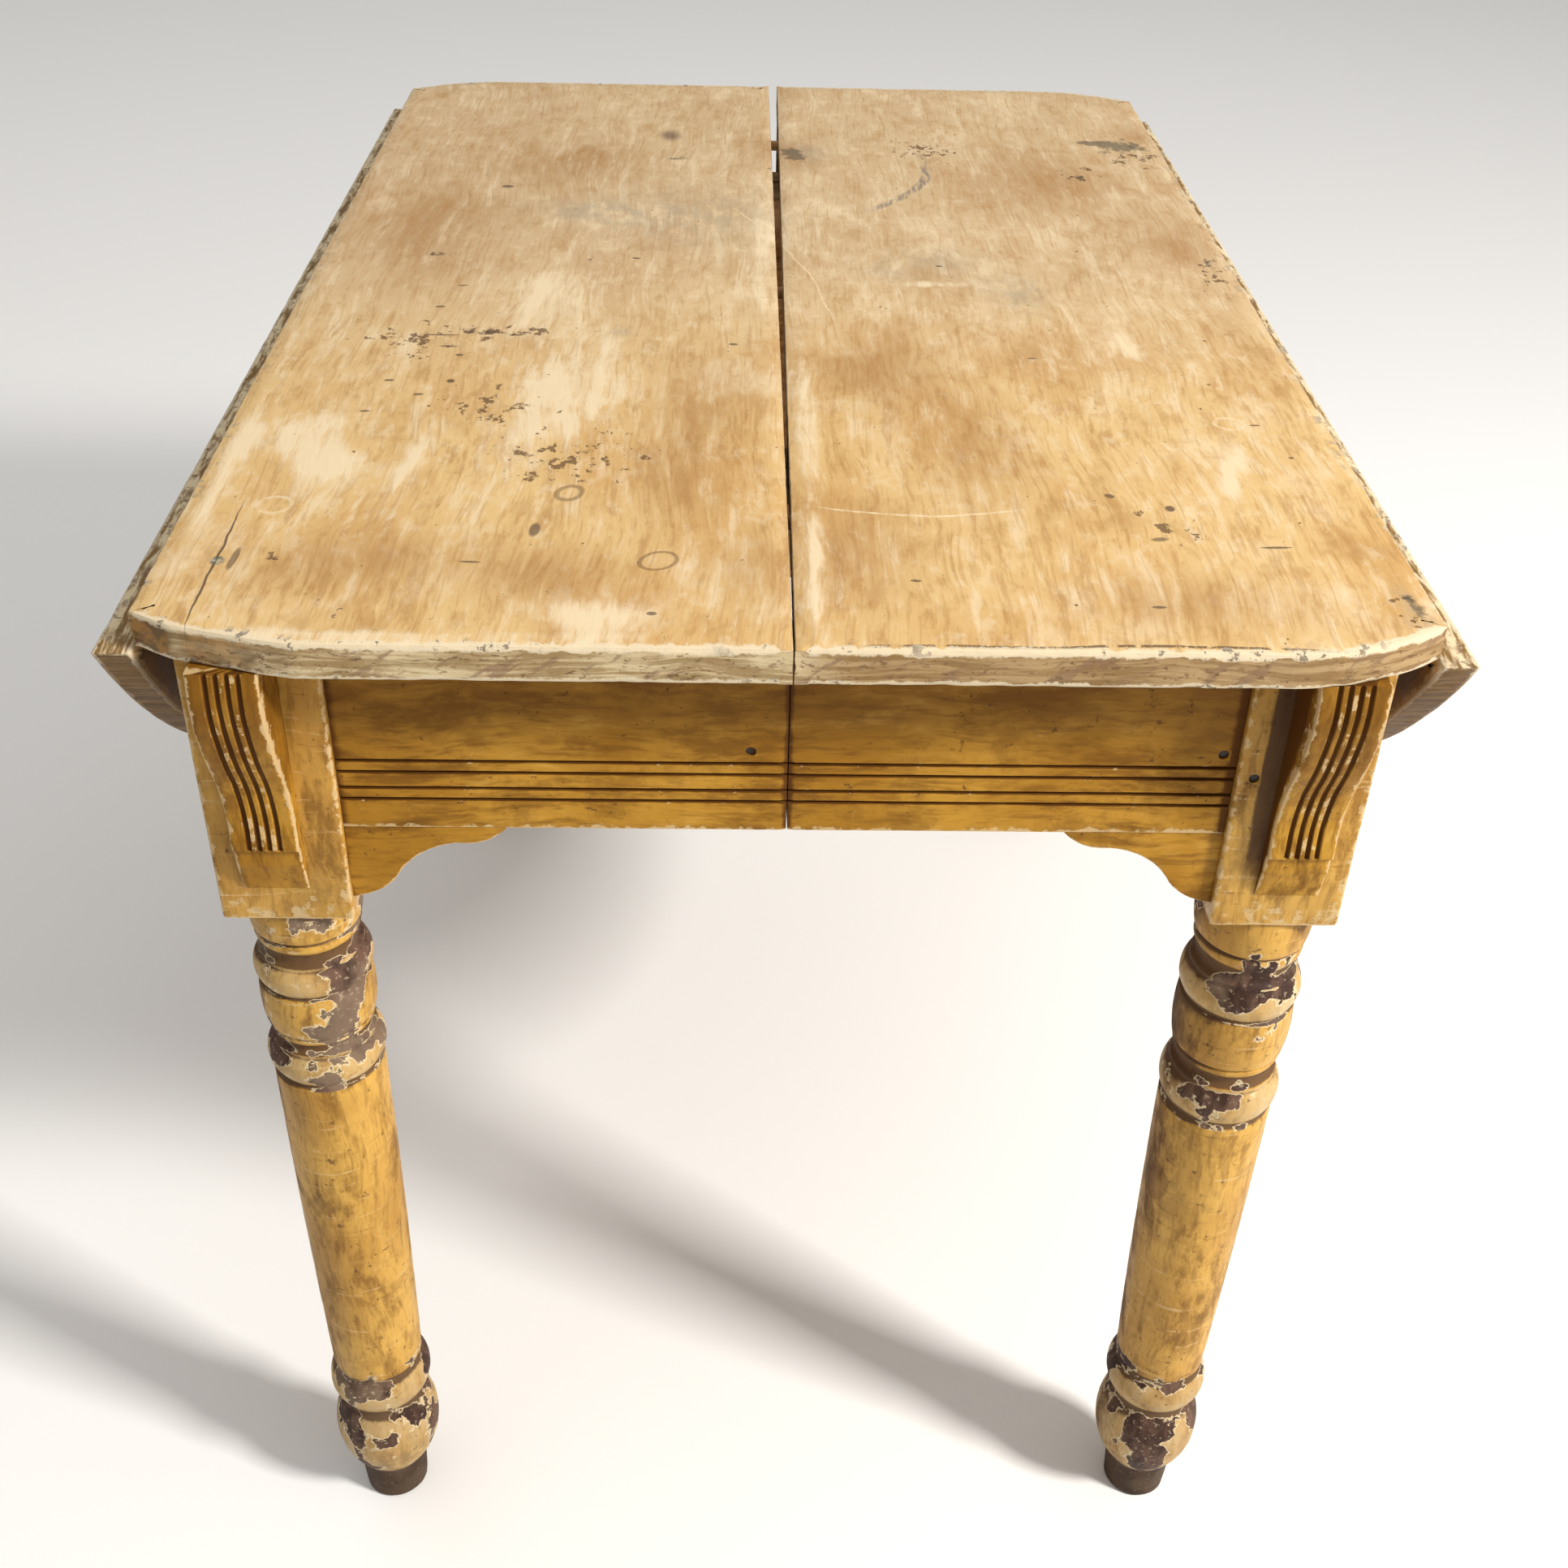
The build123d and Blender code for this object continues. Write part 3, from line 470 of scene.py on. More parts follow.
def top_finish(name, rim_pale, rim_dark, hinge_edge=None):
    """Old cream paint and varnish rubbed thin over pine, streaked along Y, with its stains.

    A leaf's rim has its own colour along the hinges; its inner face is dark bare wood, darkened
    further as painted shade.
    """
    s = Finish(name)
    bent = s.drift(s.at, 5.0, 0.03)
    wavy = s.drift(bent, 22.0, 0.006)

    def mark(x, y, across, along, soft=0.4, on=wavy):
        return s.spot(on, (x, y, TOP), (across, along, 0.02), soft)

    def circle(x, y, radius, width):
        return s.ring(wavy, (x, y, TOP), radius, width)

    broad = s.noise(s.scaled(bent, (1.0, 0.45, 1.0)), 11.0, 5.0, 0.6)
    patch = s.noise(s.scaled(bent, (1.0, 0.6, 1.0)), 21.0, 6.0, 0.65)
    brush = s.streaks(wavy, (105.0, 13.0, 105.0), 5.0, 0.65)
    stroke = s.streaks(wavy, (260.0, 34.0, 260.0), 4.0, 0.6)
    grain = s.streaks(bent, (520.0, 16.0, 520.0), 3.0, 0.5)
    crumbs = s.noise(s.at, 260.0, 4.0, 0.6)
    flecks = s.noise(s.scaled(s.at, (1.0, 0.7, 1.0)), 95.0, 6.0, 0.7)

    near = s.step(s.axis(s.at, "Y"), 0.15, -0.35)
    s.colour = s.mix(s.step(broad, 0.34, 0.56), HONEY, STRAW)
    s.coat(s.step(near, 1.0, 0.0), 0.6, FAR_STRAW)
    s.coat(s.step(patch, 0.50, 0.72), 0.55, CREAM)
    s.coat(s.step(patch, 0.46, 0.28), 0.45, TAN)
    streaks = s.step(s.weighted((brush, 0.6), (stroke, 0.4)), 0.50, 0.62)
    s.coat(streaks, s.step(near, 0.0, 1.0, 0.30, 0.55), TAN)
    wisps = s.noise(s.scaled(s.drift(s.at, 30.0, 0.008), (1.0, 0.55, 1.0)), 70.0, 6.0, 0.7)
    s.coat(s.step(wisps, 0.53, 0.66), 0.35, TAN)
    s.coat(s.step(wisps, 0.47, 0.34), 0.40, CREAM)
    s.coat(s.step(brush, 0.46, 0.32), 0.55, CREAM)
    s.coat(s.step(grain, 0.52, 0.70), 0.38, TAN)

    tan = s.times(s.value("tan"), s.step(brush, 0.25, 0.65, 0.35, 1.0))
    s.coat(tan, 0.7, RED_TAN)
    cream = s.sum(s.times(brush, 1.5), s.weighted((patch, 0.9), (stroke, 0.5)))
    cream = s.step(s.sum(s.times(s.value("cream"), 0.62), cream), 1.66, 2.12)
    s.coat(cream, 0.9, CREAM)
    grey = s.times(s.value("grey"), s.step(patch, 0.35, 0.6, 0.3, 1.0))
    grey = s.times(grey, s.step(wisps, 0.40, 0.58, 0.15, 1.0))
    s.coat(grey, 0.6, DULL)

    # Fine brown flecks all over, thick where the speck value is high
    speck = s.weighted((flecks, 0.72), (crumbs, 0.28), (s.value("speck"), 0.12))
    speck = s.step(speck, 0.638, 0.660)
    s.coat(speck, 0.85, UMBER)
    stain = s.step(s.weighted((s.value("stain"), 0.55), (flecks, 1.1)), 0.86, 1.04)
    s.coat(stain, 0.75, TAR)

    # Drink rings, scratches, a nail and a check in the board
    rings = s.either(circle(-0.122, -0.324, 0.0078, 0.0022), circle(-0.070, -0.400, 0.0092, 0.0016))
    s.coat(rings, 0.55, UMBER)
    glass = s.either(circle(0.260, -0.225, 0.0082, 0.0018), circle(-0.268, -0.345, 0.0095, 0.0016))
    pan = circle(-0.031, 0.268, 0.153, 0.0055)
    pan = s.times(pan, s.spot(bent, (0.105, 0.21, TOP), (0.075, 0.105, 0.05), 0.7))
    s.coat(pan, s.step(stroke, 0.42, 0.56, 0.1, 0.8), SLATE)
    sweep = circle(0.069, -0.200, 0.150, 0.0012)
    sweep = s.times(sweep, s.spot(s.at, (0.069, -0.352, TOP), (0.062, 0.04, 0.05), 0.3))
    swing = circle(-0.72, -0.17, 0.762, 0.0009)
    swing = s.times(swing, s.spot(s.at, (0.0, 0.03, TOP), (0.08, 0.16, 0.05), 0.4))
    scratch = s.either(sweep, swing, s.times(glass, 0.7))
    s.coat(scratch, s.step(crumbs, 0.35, 0.6, 0.3, 0.9), CREAM)
    check = mark(-0.287, -0.41, 0.0009, 0.085, 0.5, s.drift(s.at, 60.0, 0.004))
    slit = mark(-0.274, -0.400, 0.0022, 0.014, 0.4)
    burn = s.either(mark(-0.086, 0.331, 0.012, 0.022, 0.8), mark(0.190, -0.372, 0.006, 0.003, 0.5))
    chips = s.either(mark(-0.188, -0.097, 0.013, 0.009, 0.5),
                     mark(-0.165, -0.103, 0.010, 0.005, 0.5),
                     mark(-0.239, 0.039, 0.008, 0.005, 0.5))
    chips = s.times(chips, s.step(flecks, 0.44, 0.52))
    holes = s.either(mark(0.204, -0.337, 0.0032, 0.0042, on=s.at),
                     mark(-0.200, -0.180, 0.0028, 0.0032, on=s.at),
                     check, s.times(s.either(slit, burn), 0.8),
                     *(s.times(mark(*(v / 1000 for v in nick)), 0.9) for nick in NICKS))
    groove = s.math("ABSOLUTE", s.sum(s.axis(wavy, "Y"), 0.4825))
    groove = s.times(s.step(groove, 0.0016, 0.0006), s.step(s.axis(s.at, "X"), 0.02, 0.05))
    holes = s.either(holes, s.times(groove, s.step(flecks, 0.44, 0.50)))
    dark = s.either(holes, chips)
    s.coat(dark, 0.85, PIT)
    nail = mark(-0.286, -0.407, 0.0046, 0.0055, 0.5, s.at)
    s.lay(nail, s.mix(s.step(crumbs, 0.45, 0.6), (0.10, 0.11, 0.08), BEIGE))

    # Rim of the board: paint gone streaky over weathered end grain and long grain
    lines = s.streaks(wavy, (22.0, 22.0, 420.0), 5.0, 0.6)
    side = s.mix(s.step(s.weighted((lines, 0.6), (patch, 0.4)), 0.42, 0.60),
                 rim_dark, rim_pale)
    if hinge_edge:
        side = s.mix(s.step(s.axis(s.at, "Z"), 0.7150, 0.7168), side,
                     s.mix(s.step(stroke, 0.4, 0.6), hinge_edge, rim_pale))
    else:
        side = s.mix(s.step(s.axis(s.at, "X"), -0.01, 0.03, 0.0, 0.85), side,
                     s.mix(s.step(lines, 0.4, 0.6), *RIM_BROWNS))
        flats = s.either(s.spot(s.at, (-0.306, -0.465, 0.728), (0.016, 0.012, 0.02), 0.3),
                         s.times(s.spot(s.at, (-0.270, -0.478, 0.728), (0.026, 0.012, 0.02),
                                        0.3), 0.6))
        side = s.mix(flats, side, s.mix(s.step(brush, 0.4, 0.6), RIM_FLAT, TAN))
    slant = s.add("ShaderNodeVectorRotate", {"Vector": wavy, "Angle": 0.6},
                  rotation_type="Y_AXIS").outputs[0]
    bruise = s.streaks(slant, (38.0, 60.0, 190.0), 5.0, 0.6)
    side = s.over(side, s.step(bruise, 0.54, 0.62), 0.6, BRUISE)
    ticks = s.streaks(wavy, (150.0, 150.0, 420.0), 4.0, 0.7)
    side = s.over(side, s.step(ticks, 0.57, 0.64), 0.75, UMBER)
    rim = s.step(s.sum(s.value("rim"), s.centred(crumbs, 0.5)), 0.35, 0.55)
    s.lay(rim, side)
    if hinge_edge:
        # The leaf's inner face: unpainted dark wood, made darker still as painted shade
        inside = s.step(s.math("ABSOLUTE", s.axis(s.at, "X")), HINGE_X + 0.0022, HINGE_X + 0.0010)
        inside = s.times(inside, s.step(s.axis(s.at, "Z"), 0.714, 0.708))
        inside_wood_and_shade = s.mix(s.step(brush, 0.4, 0.6), *LEAF_INSIDE_WOOD_AND_SHADE)
        s.coat(inside, 0.88, inside_wood_and_shade)

    # Arris: thick old cream paint left on the rounding, with flakes broken out to dark wood
    worn = s.sum(s.value("edge"), s.centred(flecks, 1.5))
    cream_edge = s.step(worn, 0.42, 0.60)
    if hinge_edge:
        cream_edge = s.times(cream_edge, s.step(s.axis(s.at, "Z"), 0.70, 0.7168, 0.25, 0.9))
    s.coat(cream_edge, 0.88, ARRIS_CREAM)
    flake = s.times(s.step(s.value("edge"), 0.05, 0.6), s.step(flecks, 0.57, 0.60))
    flake = s.times(flake, s.step(broad, 0.40, 0.54))
    s.coat(flake, 0.8, s.mix(s.step(crumbs, 0.4, 0.6), UMBER, SLATE))

    loss = s.either(dark, flake, speck, s.times(rings, 0.4))
    height = s.weighted((brush, 0.25), (stroke, 0.22), (grain, 0.20),
                        (s.either(cream, s.times(cream_edge, 0.7)), 0.30))
    height = s.less(height, s.times(loss, 0.8))
    height = s.less(height, s.times(s.times(ticks, rim), 0.9))
    rough = s.step(s.weighted((patch, 0.5), (brush, 0.5)), 0.3, 0.7, 0.42, 0.66)
    return s.finish(s.sum(rough, s.times(rim, 0.12)), height, 0.0005, 0.8,
                    Specular_IOR_Level=0.28)


def ochre_finish(name, along, leg=False):
    """Mustard paint under a brown glaze, dirty in the hollows and cream where edges rub, with
    painted shade under the board and beside the posts, corbels and leg sides.
    """
    s = Finish(name)
    stretch = {"X": (0.10, 1.0, 1.0), "Z": (1.0, 1.0, 0.13)}[along]
    bent = s.drift(s.at, 9.0, 0.02)
    fine = s.drift(bent, 60.0, 0.003)
    broad = s.noise(bent, 13.0, 4.0, 0.6)
    mottle = s.noise(s.scaled(fine, tuple(v ** 0.5 for v in stretch)), 55.0, 6.0, 0.68)
    glaze = s.noise(s.scaled(fine, stretch), 210.0, 5.0, 0.62)
    grain = s.noise(s.scaled(fine, stretch), 620.0, 3.0, 0.5)
    crumbs = s.noise(s.at, 300.0, 4.0, 0.62)
    flecks = s.noise(s.at, 120.0, 6.0, 0.7)
    height_z = s.axis(s.at, "Z")

    bright = (0.60, 0.345, 0.070) if leg else (0.49, 0.255, 0.032)
    ochre = (0.44, 0.23, 0.040) if leg else (0.34, 0.16, 0.014)
    s.colour = s.mix(s.step(broad, 0.36, 0.62), ochre, bright)
    s.coat(s.step(mottle, 0.49, 0.66), 0.72, BROWN)
    s.coat(s.step(mottle, 0.44, 0.28), 0.45, PALE_OCHRE)
    s.coat(s.step(glaze, 0.49, 0.66), 0.42 if leg else 0.58, BROWN)
    smoke = s.times(s.step(s.noise(bent, 26.0, 5.0, 0.65), 0.50, 0.66), 0.36 if leg else 0.5)
    s.lay(smoke, BROWN)
    s.coat(s.step(grain, 0.52, 0.72), 0.25, BROWN)
    # Hand-worn marks that lie across the shaft
    if leg:
        across = s.streaks(fine, (14.0, 14.0, 330.0), 4.0, 0.55)
        rub = s.times(s.step(across, 0.61, 0.68), s.step(flecks, 0.40, 0.55))
        s.coat(rub, 0.5, HAND_RUB)
        dents = s.times(s.step(across, 0.39, 0.33), s.step(flecks, 0.45, 0.6))
        s.coat(dents, 0.5, BROWN)
        # Thin cream coat on the rings and the bulb, and a few knocks in the right front leg
        pale_coat = s.times(s.value("rim"), s.step(mottle, 0.30, 0.62, 1.0, 0.35))
        s.lay(pale_coat, THIN_CREAM)
        leaf_mark = s.spot(fine, (0.2411, -0.4283, 0.318), (0.013, 0.013, 0.018), 0.12)
        s.coat(leaf_mark, 0.55, BROWN)
        for centre in ((0.2684, -0.4430, 0.197), (0.2763, -0.4442, 0.374)):
            knock = s.spot(fine, centre, (0.0042, 0.0042, 0.0034), 0.3)
            s.coat(knock, 0.9, (0.06, 0.03, 0.012))
    # Painted shade towards the top of the aprons and corbels, under the board's overhang
    if not leg:
        painted_shade = s.times(s.step(height_z, 0.625, 0.700), s.step(mottle, 0.3, 0.7, 0.45, 0.95))
        s.lay(painted_shade, BROWN)
    # Dirt in hollows and grooves, and painted shade beside the posts and corbels and down the legs'
    # sides away from the light, from the same vertex values
    hollow_dirt_and_shade = s.sum(s.value("dirt"), s.centred(mottle, 1.2))
    hollow_dirt_and_shade = s.step(hollow_dirt_and_shade, 0.30, 0.80)
    grime_and_shade = (0.095, 0.048, 0.024) if leg else (0.085, 0.030, 0.005)
    s.coat(hollow_dirt_and_shade, 0.92, grime_and_shade)
    first, full = (0.59, 0.62) if leg else (0.60, 0.635)
    speck = s.step(s.weighted((flecks, 0.6), (crumbs, 0.4)), first, full)
    s.coat(speck, 0.7, (0.09, 0.036, 0.012))
    # Rubbed edges and paint broken away to the dark old coat, with cream lips
    worn = s.sum(s.times(s.value("edge"), 0.8), s.centred(flecks, 1.9))
    pale = s.step(worn, 0.46, 0.62)
    s.coat(pale, 0.7, RUBBED_EDGE)
    ragged = s.noise(s.drift(s.at, 70.0, 0.006), 48.0, 6.0, 0.6)
    lost = s.sum(s.value("chip"), s.centred(ragged, 1.5))
    lip = s.step(lost, 0.52, 0.55)
    bare = s.step(lost, 0.575, 0.595)
    under = s.mix(s.step(mottle, 0.40, 0.60), *OLD_COAT)
    under = s.over(under, s.step(broad, 0.50, 0.60), 0.6, (0.25, 0.175, 0.115))
    under = s.over(under, s.step(crumbs, 0.58, 0.66), 0.5, (0.46, 0.36, 0.25))
    if leg:
        under = s.mix(s.step(height_z, 0.037, 0.031, 0.0, 0.72), under, SOLE_BROWN)
    s.coat(lip, 0.85, PAINT_LIP)
    s.lay(bare, under)

    height = s.weighted((glaze, 0.20), (grain, 0.14), (mottle, 0.25))
    height = s.less(height, s.times(bare, 0.85))
    height = s.less(height, s.times(s.either(speck, s.times(pale, 0.3)), 0.5))
    rough = s.step(mottle, 0.3, 0.7, 0.36, 0.56)
    rough = s.sum(rough, s.times(s.either(bare, hollow_dirt_and_shade), 0.22))
    return s.finish(rough, height, 0.0006, 0.8, Specular_IOR_Level=0.2 if leg else 0.1)


def bare_pine(name, along, pale, dark):
    """Unpainted inner pine, gone brown, with saw marks across the grain and dust."""
    s = Finish(name)
    spread = {"X": (0.06, 1.0, 1.0), "Y": (1.0, 0.06, 1.0), "Z": (1.0, 1.0, 0.06)}[along]
    bent = s.drift(s.at, 8.0, 0.012)
    rings = s.noise(s.scaled(bent, spread), 85.0, 4.0, 0.55, 0.4)
    fibre = s.noise(s.scaled(bent, spread), 620.0, 3.0, 0.55)
    blotch = s.noise(s.at, 17.0, 5.0, 0.62)
    fleck = s.noise(s.at, 190.0, 5.0, 0.66)
    saw = s.noise(s.scaled(s.at, tuple(1.02 - v for v in spread)), 330.0, 2.0, 0.4)
    s.colour = s.mix(s.step(rings, 0.40, 0.62), pale, dark)
    s.coat(s.step(fibre, 0.50, 0.72), 0.45, dark)
    s.coat(s.step(blotch, 0.52, 0.72), 0.6, (0.17, 0.095, 0.045))
    s.coat(s.step(fleck, 0.62, 0.68), 0.6, (0.07, 0.045, 0.03))
    height = s.sum(s.times(fibre, 0.5), s.weighted((saw, 0.3), (rings, 0.3)))
    rough = s.step(blotch, 0.3, 0.7, 0.62, 0.82)
    return s.finish(rough, height, 0.0004, 0.7, Specular_IOR_Level=0.25)


def iron_finish(name):
    """Old wrought iron: near-black scale with brown rust and rubbed bright spots."""
    s = Finish(name)
    rust = s.noise(s.at, 140.0, 6.0, 0.68)
    pits = s.noise(s.at, 700.0, 4.0, 0.6)
    broad = s.noise(s.at, 38.0, 4.0, 0.6)
    s.colour = s.mix(s.step(rust, 0.44, 0.60), (0.032, 0.026, 0.022), (0.10, 0.045, 0.020))
    s.coat(s.step(broad, 0.5, 0.7), 0.5, (0.17, 0.07, 0.025))
    s.coat(s.step(pits, 0.62, 0.72), 0.5, (0.02, 0.018, 0.016))
    height = s.weighted((rust, 0.6), (pits, 0.4))
    rough = s.step(rust, 0.35, 0.65, 0.48, 0.85)
    return s.finish(rough, height, 0.0003, 0.7, Metallic=0.3)


painted_top = top_finish("rubbed_cream_paint", (0.60, 0.48, 0.29), (0.30, 0.20, 0.085))
painted_leaf = top_finish("rubbed_cream_leaf", (0.22, 0.125, 0.036), (0.085, 0.042, 0.010),
                          (0.72, 0.59, 0.38))
ochre_x = ochre_finish("ochre_glaze_across", "X")
ochre_z = ochre_finish("ochre_glaze_upright", "Z")
ochre_leg = ochre_finish("ochre_glaze_leg", "Z", leg=True)
pine_x = bare_pine("bare_pine_x", "X", (0.48, 0.30, 0.15), (0.30, 0.165, 0.075))
pine_y = bare_pine("bare_pine_y", "Y", (0.46, 0.285, 0.14), (0.28, 0.155, 0.07))
pine_z = bare_pine("bare_pine_z", "Z", (0.42, 0.25, 0.12), (0.25, 0.135, 0.06))
iron = iron_finish("rusted_iron")


# ---- top boards

def blot(x, y, cx, cy, rx, ry, turn=0.0):
    """How much of a soft oval mark lies at x, y; turn tips its long way."""
    dx, dy = x - cx, y - cy
    a = dx * math.cos(turn) + dy * math.sin(turn)
    b = dy * math.cos(turn) - dx * math.sin(turn)
    return math.exp(-((a / rx) ** 2 + (b / ry) ** 2))


# Marks on the top, in millimetres: centre, half sizes, and a tilt for some
MARKS = {
    "cream": (
        (-130, -190, 35, 110, -0.1), (-207, -290, 12, 80, -0.12), (-270, -255, 22, 35),
        (-250, -300, 20, 30), (-160, -50, 30, 70, -0.2), (-240, -478, 50, 8), (-150, -482, 90, 6),
        (14, -250, 6, 140), (12, -420, 4, 60), (100, -5, 35, 6), (-305, -300, 8, 140),
        (-235, -120, 10, 30), (245, -300, 10, 50, -0.3), (220, -110, 8, 30), (-100, -460, 30, 20),
        (-10, 50, 10, 120),
    ),
    "tan": (
        (-215, -405, 50, 28, 0.2), (36, -390, 30, 50), (105, -270, 30, 70), (-20, -410, 20, 40),
        (288, 86, 30, 50), (303, 347, 20, 25), (-50, -200, 30, 60), (60, -160, 40, 50),
        (-250, 100, 50, 120), (-60, -300, 25, 60), (-160, 250, 70, 60), (200, -440, 50, 30),
        (210, 220, 60, 80), (-120, -420, 40, 30), (20, 285, 16, 35), (-5, 300, 12, 30),
    ),
    "grey": (
        (-134, 140, 50, 30), (-105, -100, 12, 10), (100, 30, 40, 30), (20, 285, 20, 30),
        (300, -384, 10, 5), (305, -440, 8, 22), (-60, 130, 60, 60), (160, -20, 20, 30),
    ),
    "stain": (
        (288, 319, 30, 26), (240, 240, 8, 5), (14, 285, 15, 32, 0.3), (-78, 269, 14, 6, 0.3),
        (305, -440, 4, 20, 0.1), (260, 330, 14, 6), (303, 40, 4, 20),
    ),
    "speck": (
        (-174, -216, 30, 25), (-121, -285, 45, 35), (300, 28, 14, 30), (240, 240, 20, 20),
        (-170, -100, 40, 15), (290, 290, 30, 30), (120, 300, 30, 30), (-270, -250, 10, 8),
        (-262, -400, 6, 12), (300, -445, 12, 20), (-230, -120, 30, 30), (200, -360, 20, 15),
    ),
}


def top_marks(verts):
    """Values of the marks at each vertex of the upper face."""
    out = {}
    for key, marks in MARKS.items():
        out[key] = [min(1.0, sum(blot(x * 1000, y * 1000, *m) for m in marks))
                    if z > TOP - 0.001 else 0.0 for x, y, z in verts]
    return out


RIM_STEP = 0.004
WORN_CORNER = ((REVEAL - HINGE_X, 0.0295 - HALF_LENGTH), (-0.2955, -0.4712), (-0.2480, -0.4848),
               (-0.2340, -0.4878))


def top_outline(side):
    """Half of the top, counter-clockwise. The left front corner is worn to three flats."""
    near = (side * TOP_SPLIT[-1], -HALF_LENGTH)
    far = (side * TOP_SPLIT[1], HALF_LENGTH)
    edge = HINGE_X - REVEAL
    start = edge - CORNER_ACROSS
    turned = HALF_LENGTH - CORNER_ALONG
    if side > 0:
        points = [near, *bulged((start, -HALF_LENGTH), (edge, -turned), -CORNER_SAG, RIM_STEP),
                  (edge, -turned), *bulged((edge, turned), (start, HALF_LENGTH), -CORNER_SAG,
                                           RIM_STEP), (start, HALF_LENGTH), far]
    else:
        points = [far, *bulged((-start, HALF_LENGTH), (-edge, turned), -CORNER_SAG, RIM_STEP),
                  (-edge, turned), *WORN_CORNER, near]
    return dense(points, RIM_STEP)


def top_gain(x, y):
    """The split edges are nearly square, the hinge edges a little rubbed, the ends well worn."""
    if abs(x) < 0.005:
        return 0.30
    return 0.55 if abs(x) > HINGE_X - 0.001 else 1.0


for name, side in SIDES.items():
    verts, faces, values = slab(
        top_outline(side), UNDER, TOP, lambda a, b, c: (a, b, c), arris=0.0016, wear=0.0024,
        cap=0.011, seed=side * 2.3, gouge=0.0009, grid=0.005, gain=top_gain)
    values.update(top_marks(verts))
    board = build("worn_top_board_" + name, verts, faces, values, name + "_half", "top_pine",
                  painted_top, ["top_board_" + name], 50)
    holes = hinge_pockets(side)
    if side > 0:
        holes += [((-0.001, y, UNDER + BOARD / 2), (1, 0, 0), DOWEL_HOLE, DOWEL_DEPTH)
                  for y in DOWEL_YS]
    cut(board, holes)


# ---- leaves

LEAF_TIP = 0.4652
for name, side in SIDES.items():
    upper = UNDER - REVEAL
    outline = [(y, min(UNDER - (math.sqrt(LEAF_RADIUS ** 2 - y ** 2) - HINGE_X), upper))
               for y in np.linspace(-LEAF_TIP, LEAF_TIP, 240)]
    outline += [(y, upper) for y in np.linspace(LEAF_TIP, -LEAF_TIP, 160)[1:-1]]
    verts, faces, values = slab(
        outline, HINGE_X, HINGE_X + BOARD, lambda a, b, c, k=side: (k * c, a, b),
        arris=0.0014, wear=0.0012, cap=0.010, seed=7 + side, gouge=0.0006)
    leaf = build("worn_leaf_" + name, verts, faces, values, "leaf_" + name, "leaf_pine",
                 painted_leaf, ["leaf_" + name], 50)
    cut(leaf, hinge_pockets(side))


# ---- legs

# Down the turning, in millimetres: depth below the post or height, radius, bulge on the way
HEAD = (
    (22.0, 30.6, 1.2), (24.0, 28.6, 0), (31.0, 28.4, 1.4), (38.5, 27.2, -1.0),
    (41.0, 29.6, 0), (43.0, 29.6, 0), (60.0, 31.2, 3.2), (61.5, 30.6, 0),
    (63.0, 32.0, 0), (92.0, 31.2, 1.3), (93.5, 29.6, 0), (98.0, 29.0, 1.0),
    (103.5, 28.0, -0.8), (106.0, 30.2, 0), (108.0, 30.2, 0), (127.0, 31.6, 3.4),
    (129.0, 30.6, 0), (133.0, 32.4, 0),
)
FOOT = (
    (141.0, 29.2, 0.8), (138.5, 27.8, 0), (134.0, 29.0, 0), (108.0, 29.0, 4.4),
    (100.0, 27.4, -1.0), (97.0, 29.2, 0), (35.0, 24.0, 8.0), (31.0, 22.6, 0),
    (2.0, 21.2, 0), (0.0, 19.4, 0),
)
HEAD_DEPTH, RING_DEPTHS = 0.133, ((0.041, 0.062), (0.106, 0.130))
SHAFT_END, BULB_TOP, SOLE_TOP = 0.150, 0.140, 0.034
BARE_HEAD, BARE_SHAFT, BARE_BULB = {-1: 0.44, 1: 0.27}, -0.30, {-1: 0.50, 1: 0.44}


def turned_profile(stretch, girth):
    """(radius, height) down the turning, in metres, the same as the CAD's."""
    at = (0.031 * girth, POST_BOTTOM + 0.001)
    points = []
    for depth, radius, bulge in HEAD:
        to = (radius * girth / 1000, POST_BOTTOM - depth * stretch / 1000)
        points += bulged(at, to, bulge / 1000, 0.0012)
        at = to
    for height, radius, bulge in FOOT:
        to = (radius / 1000, height / 1000)
        step = 0.006 if at[1] - to[1] > 0.1 else 0.0012
        points += bulged(at, to, bulge / 1000, step)
        at = to
    return points + [at]


def curvature(points, reach):
    """How far each point of a profile stands out from (+) or in from (-) its neighbourhood."""
    radii = np.array([r for r, _ in points])
    heights = np.array([z for _, z in points])
    out = []
    for r, z in points:
        close = np.exp(-((heights - z) / reach) ** 2)
        out.append((r - (close * radii).sum() / close.sum()) / 0.0015)
    return out


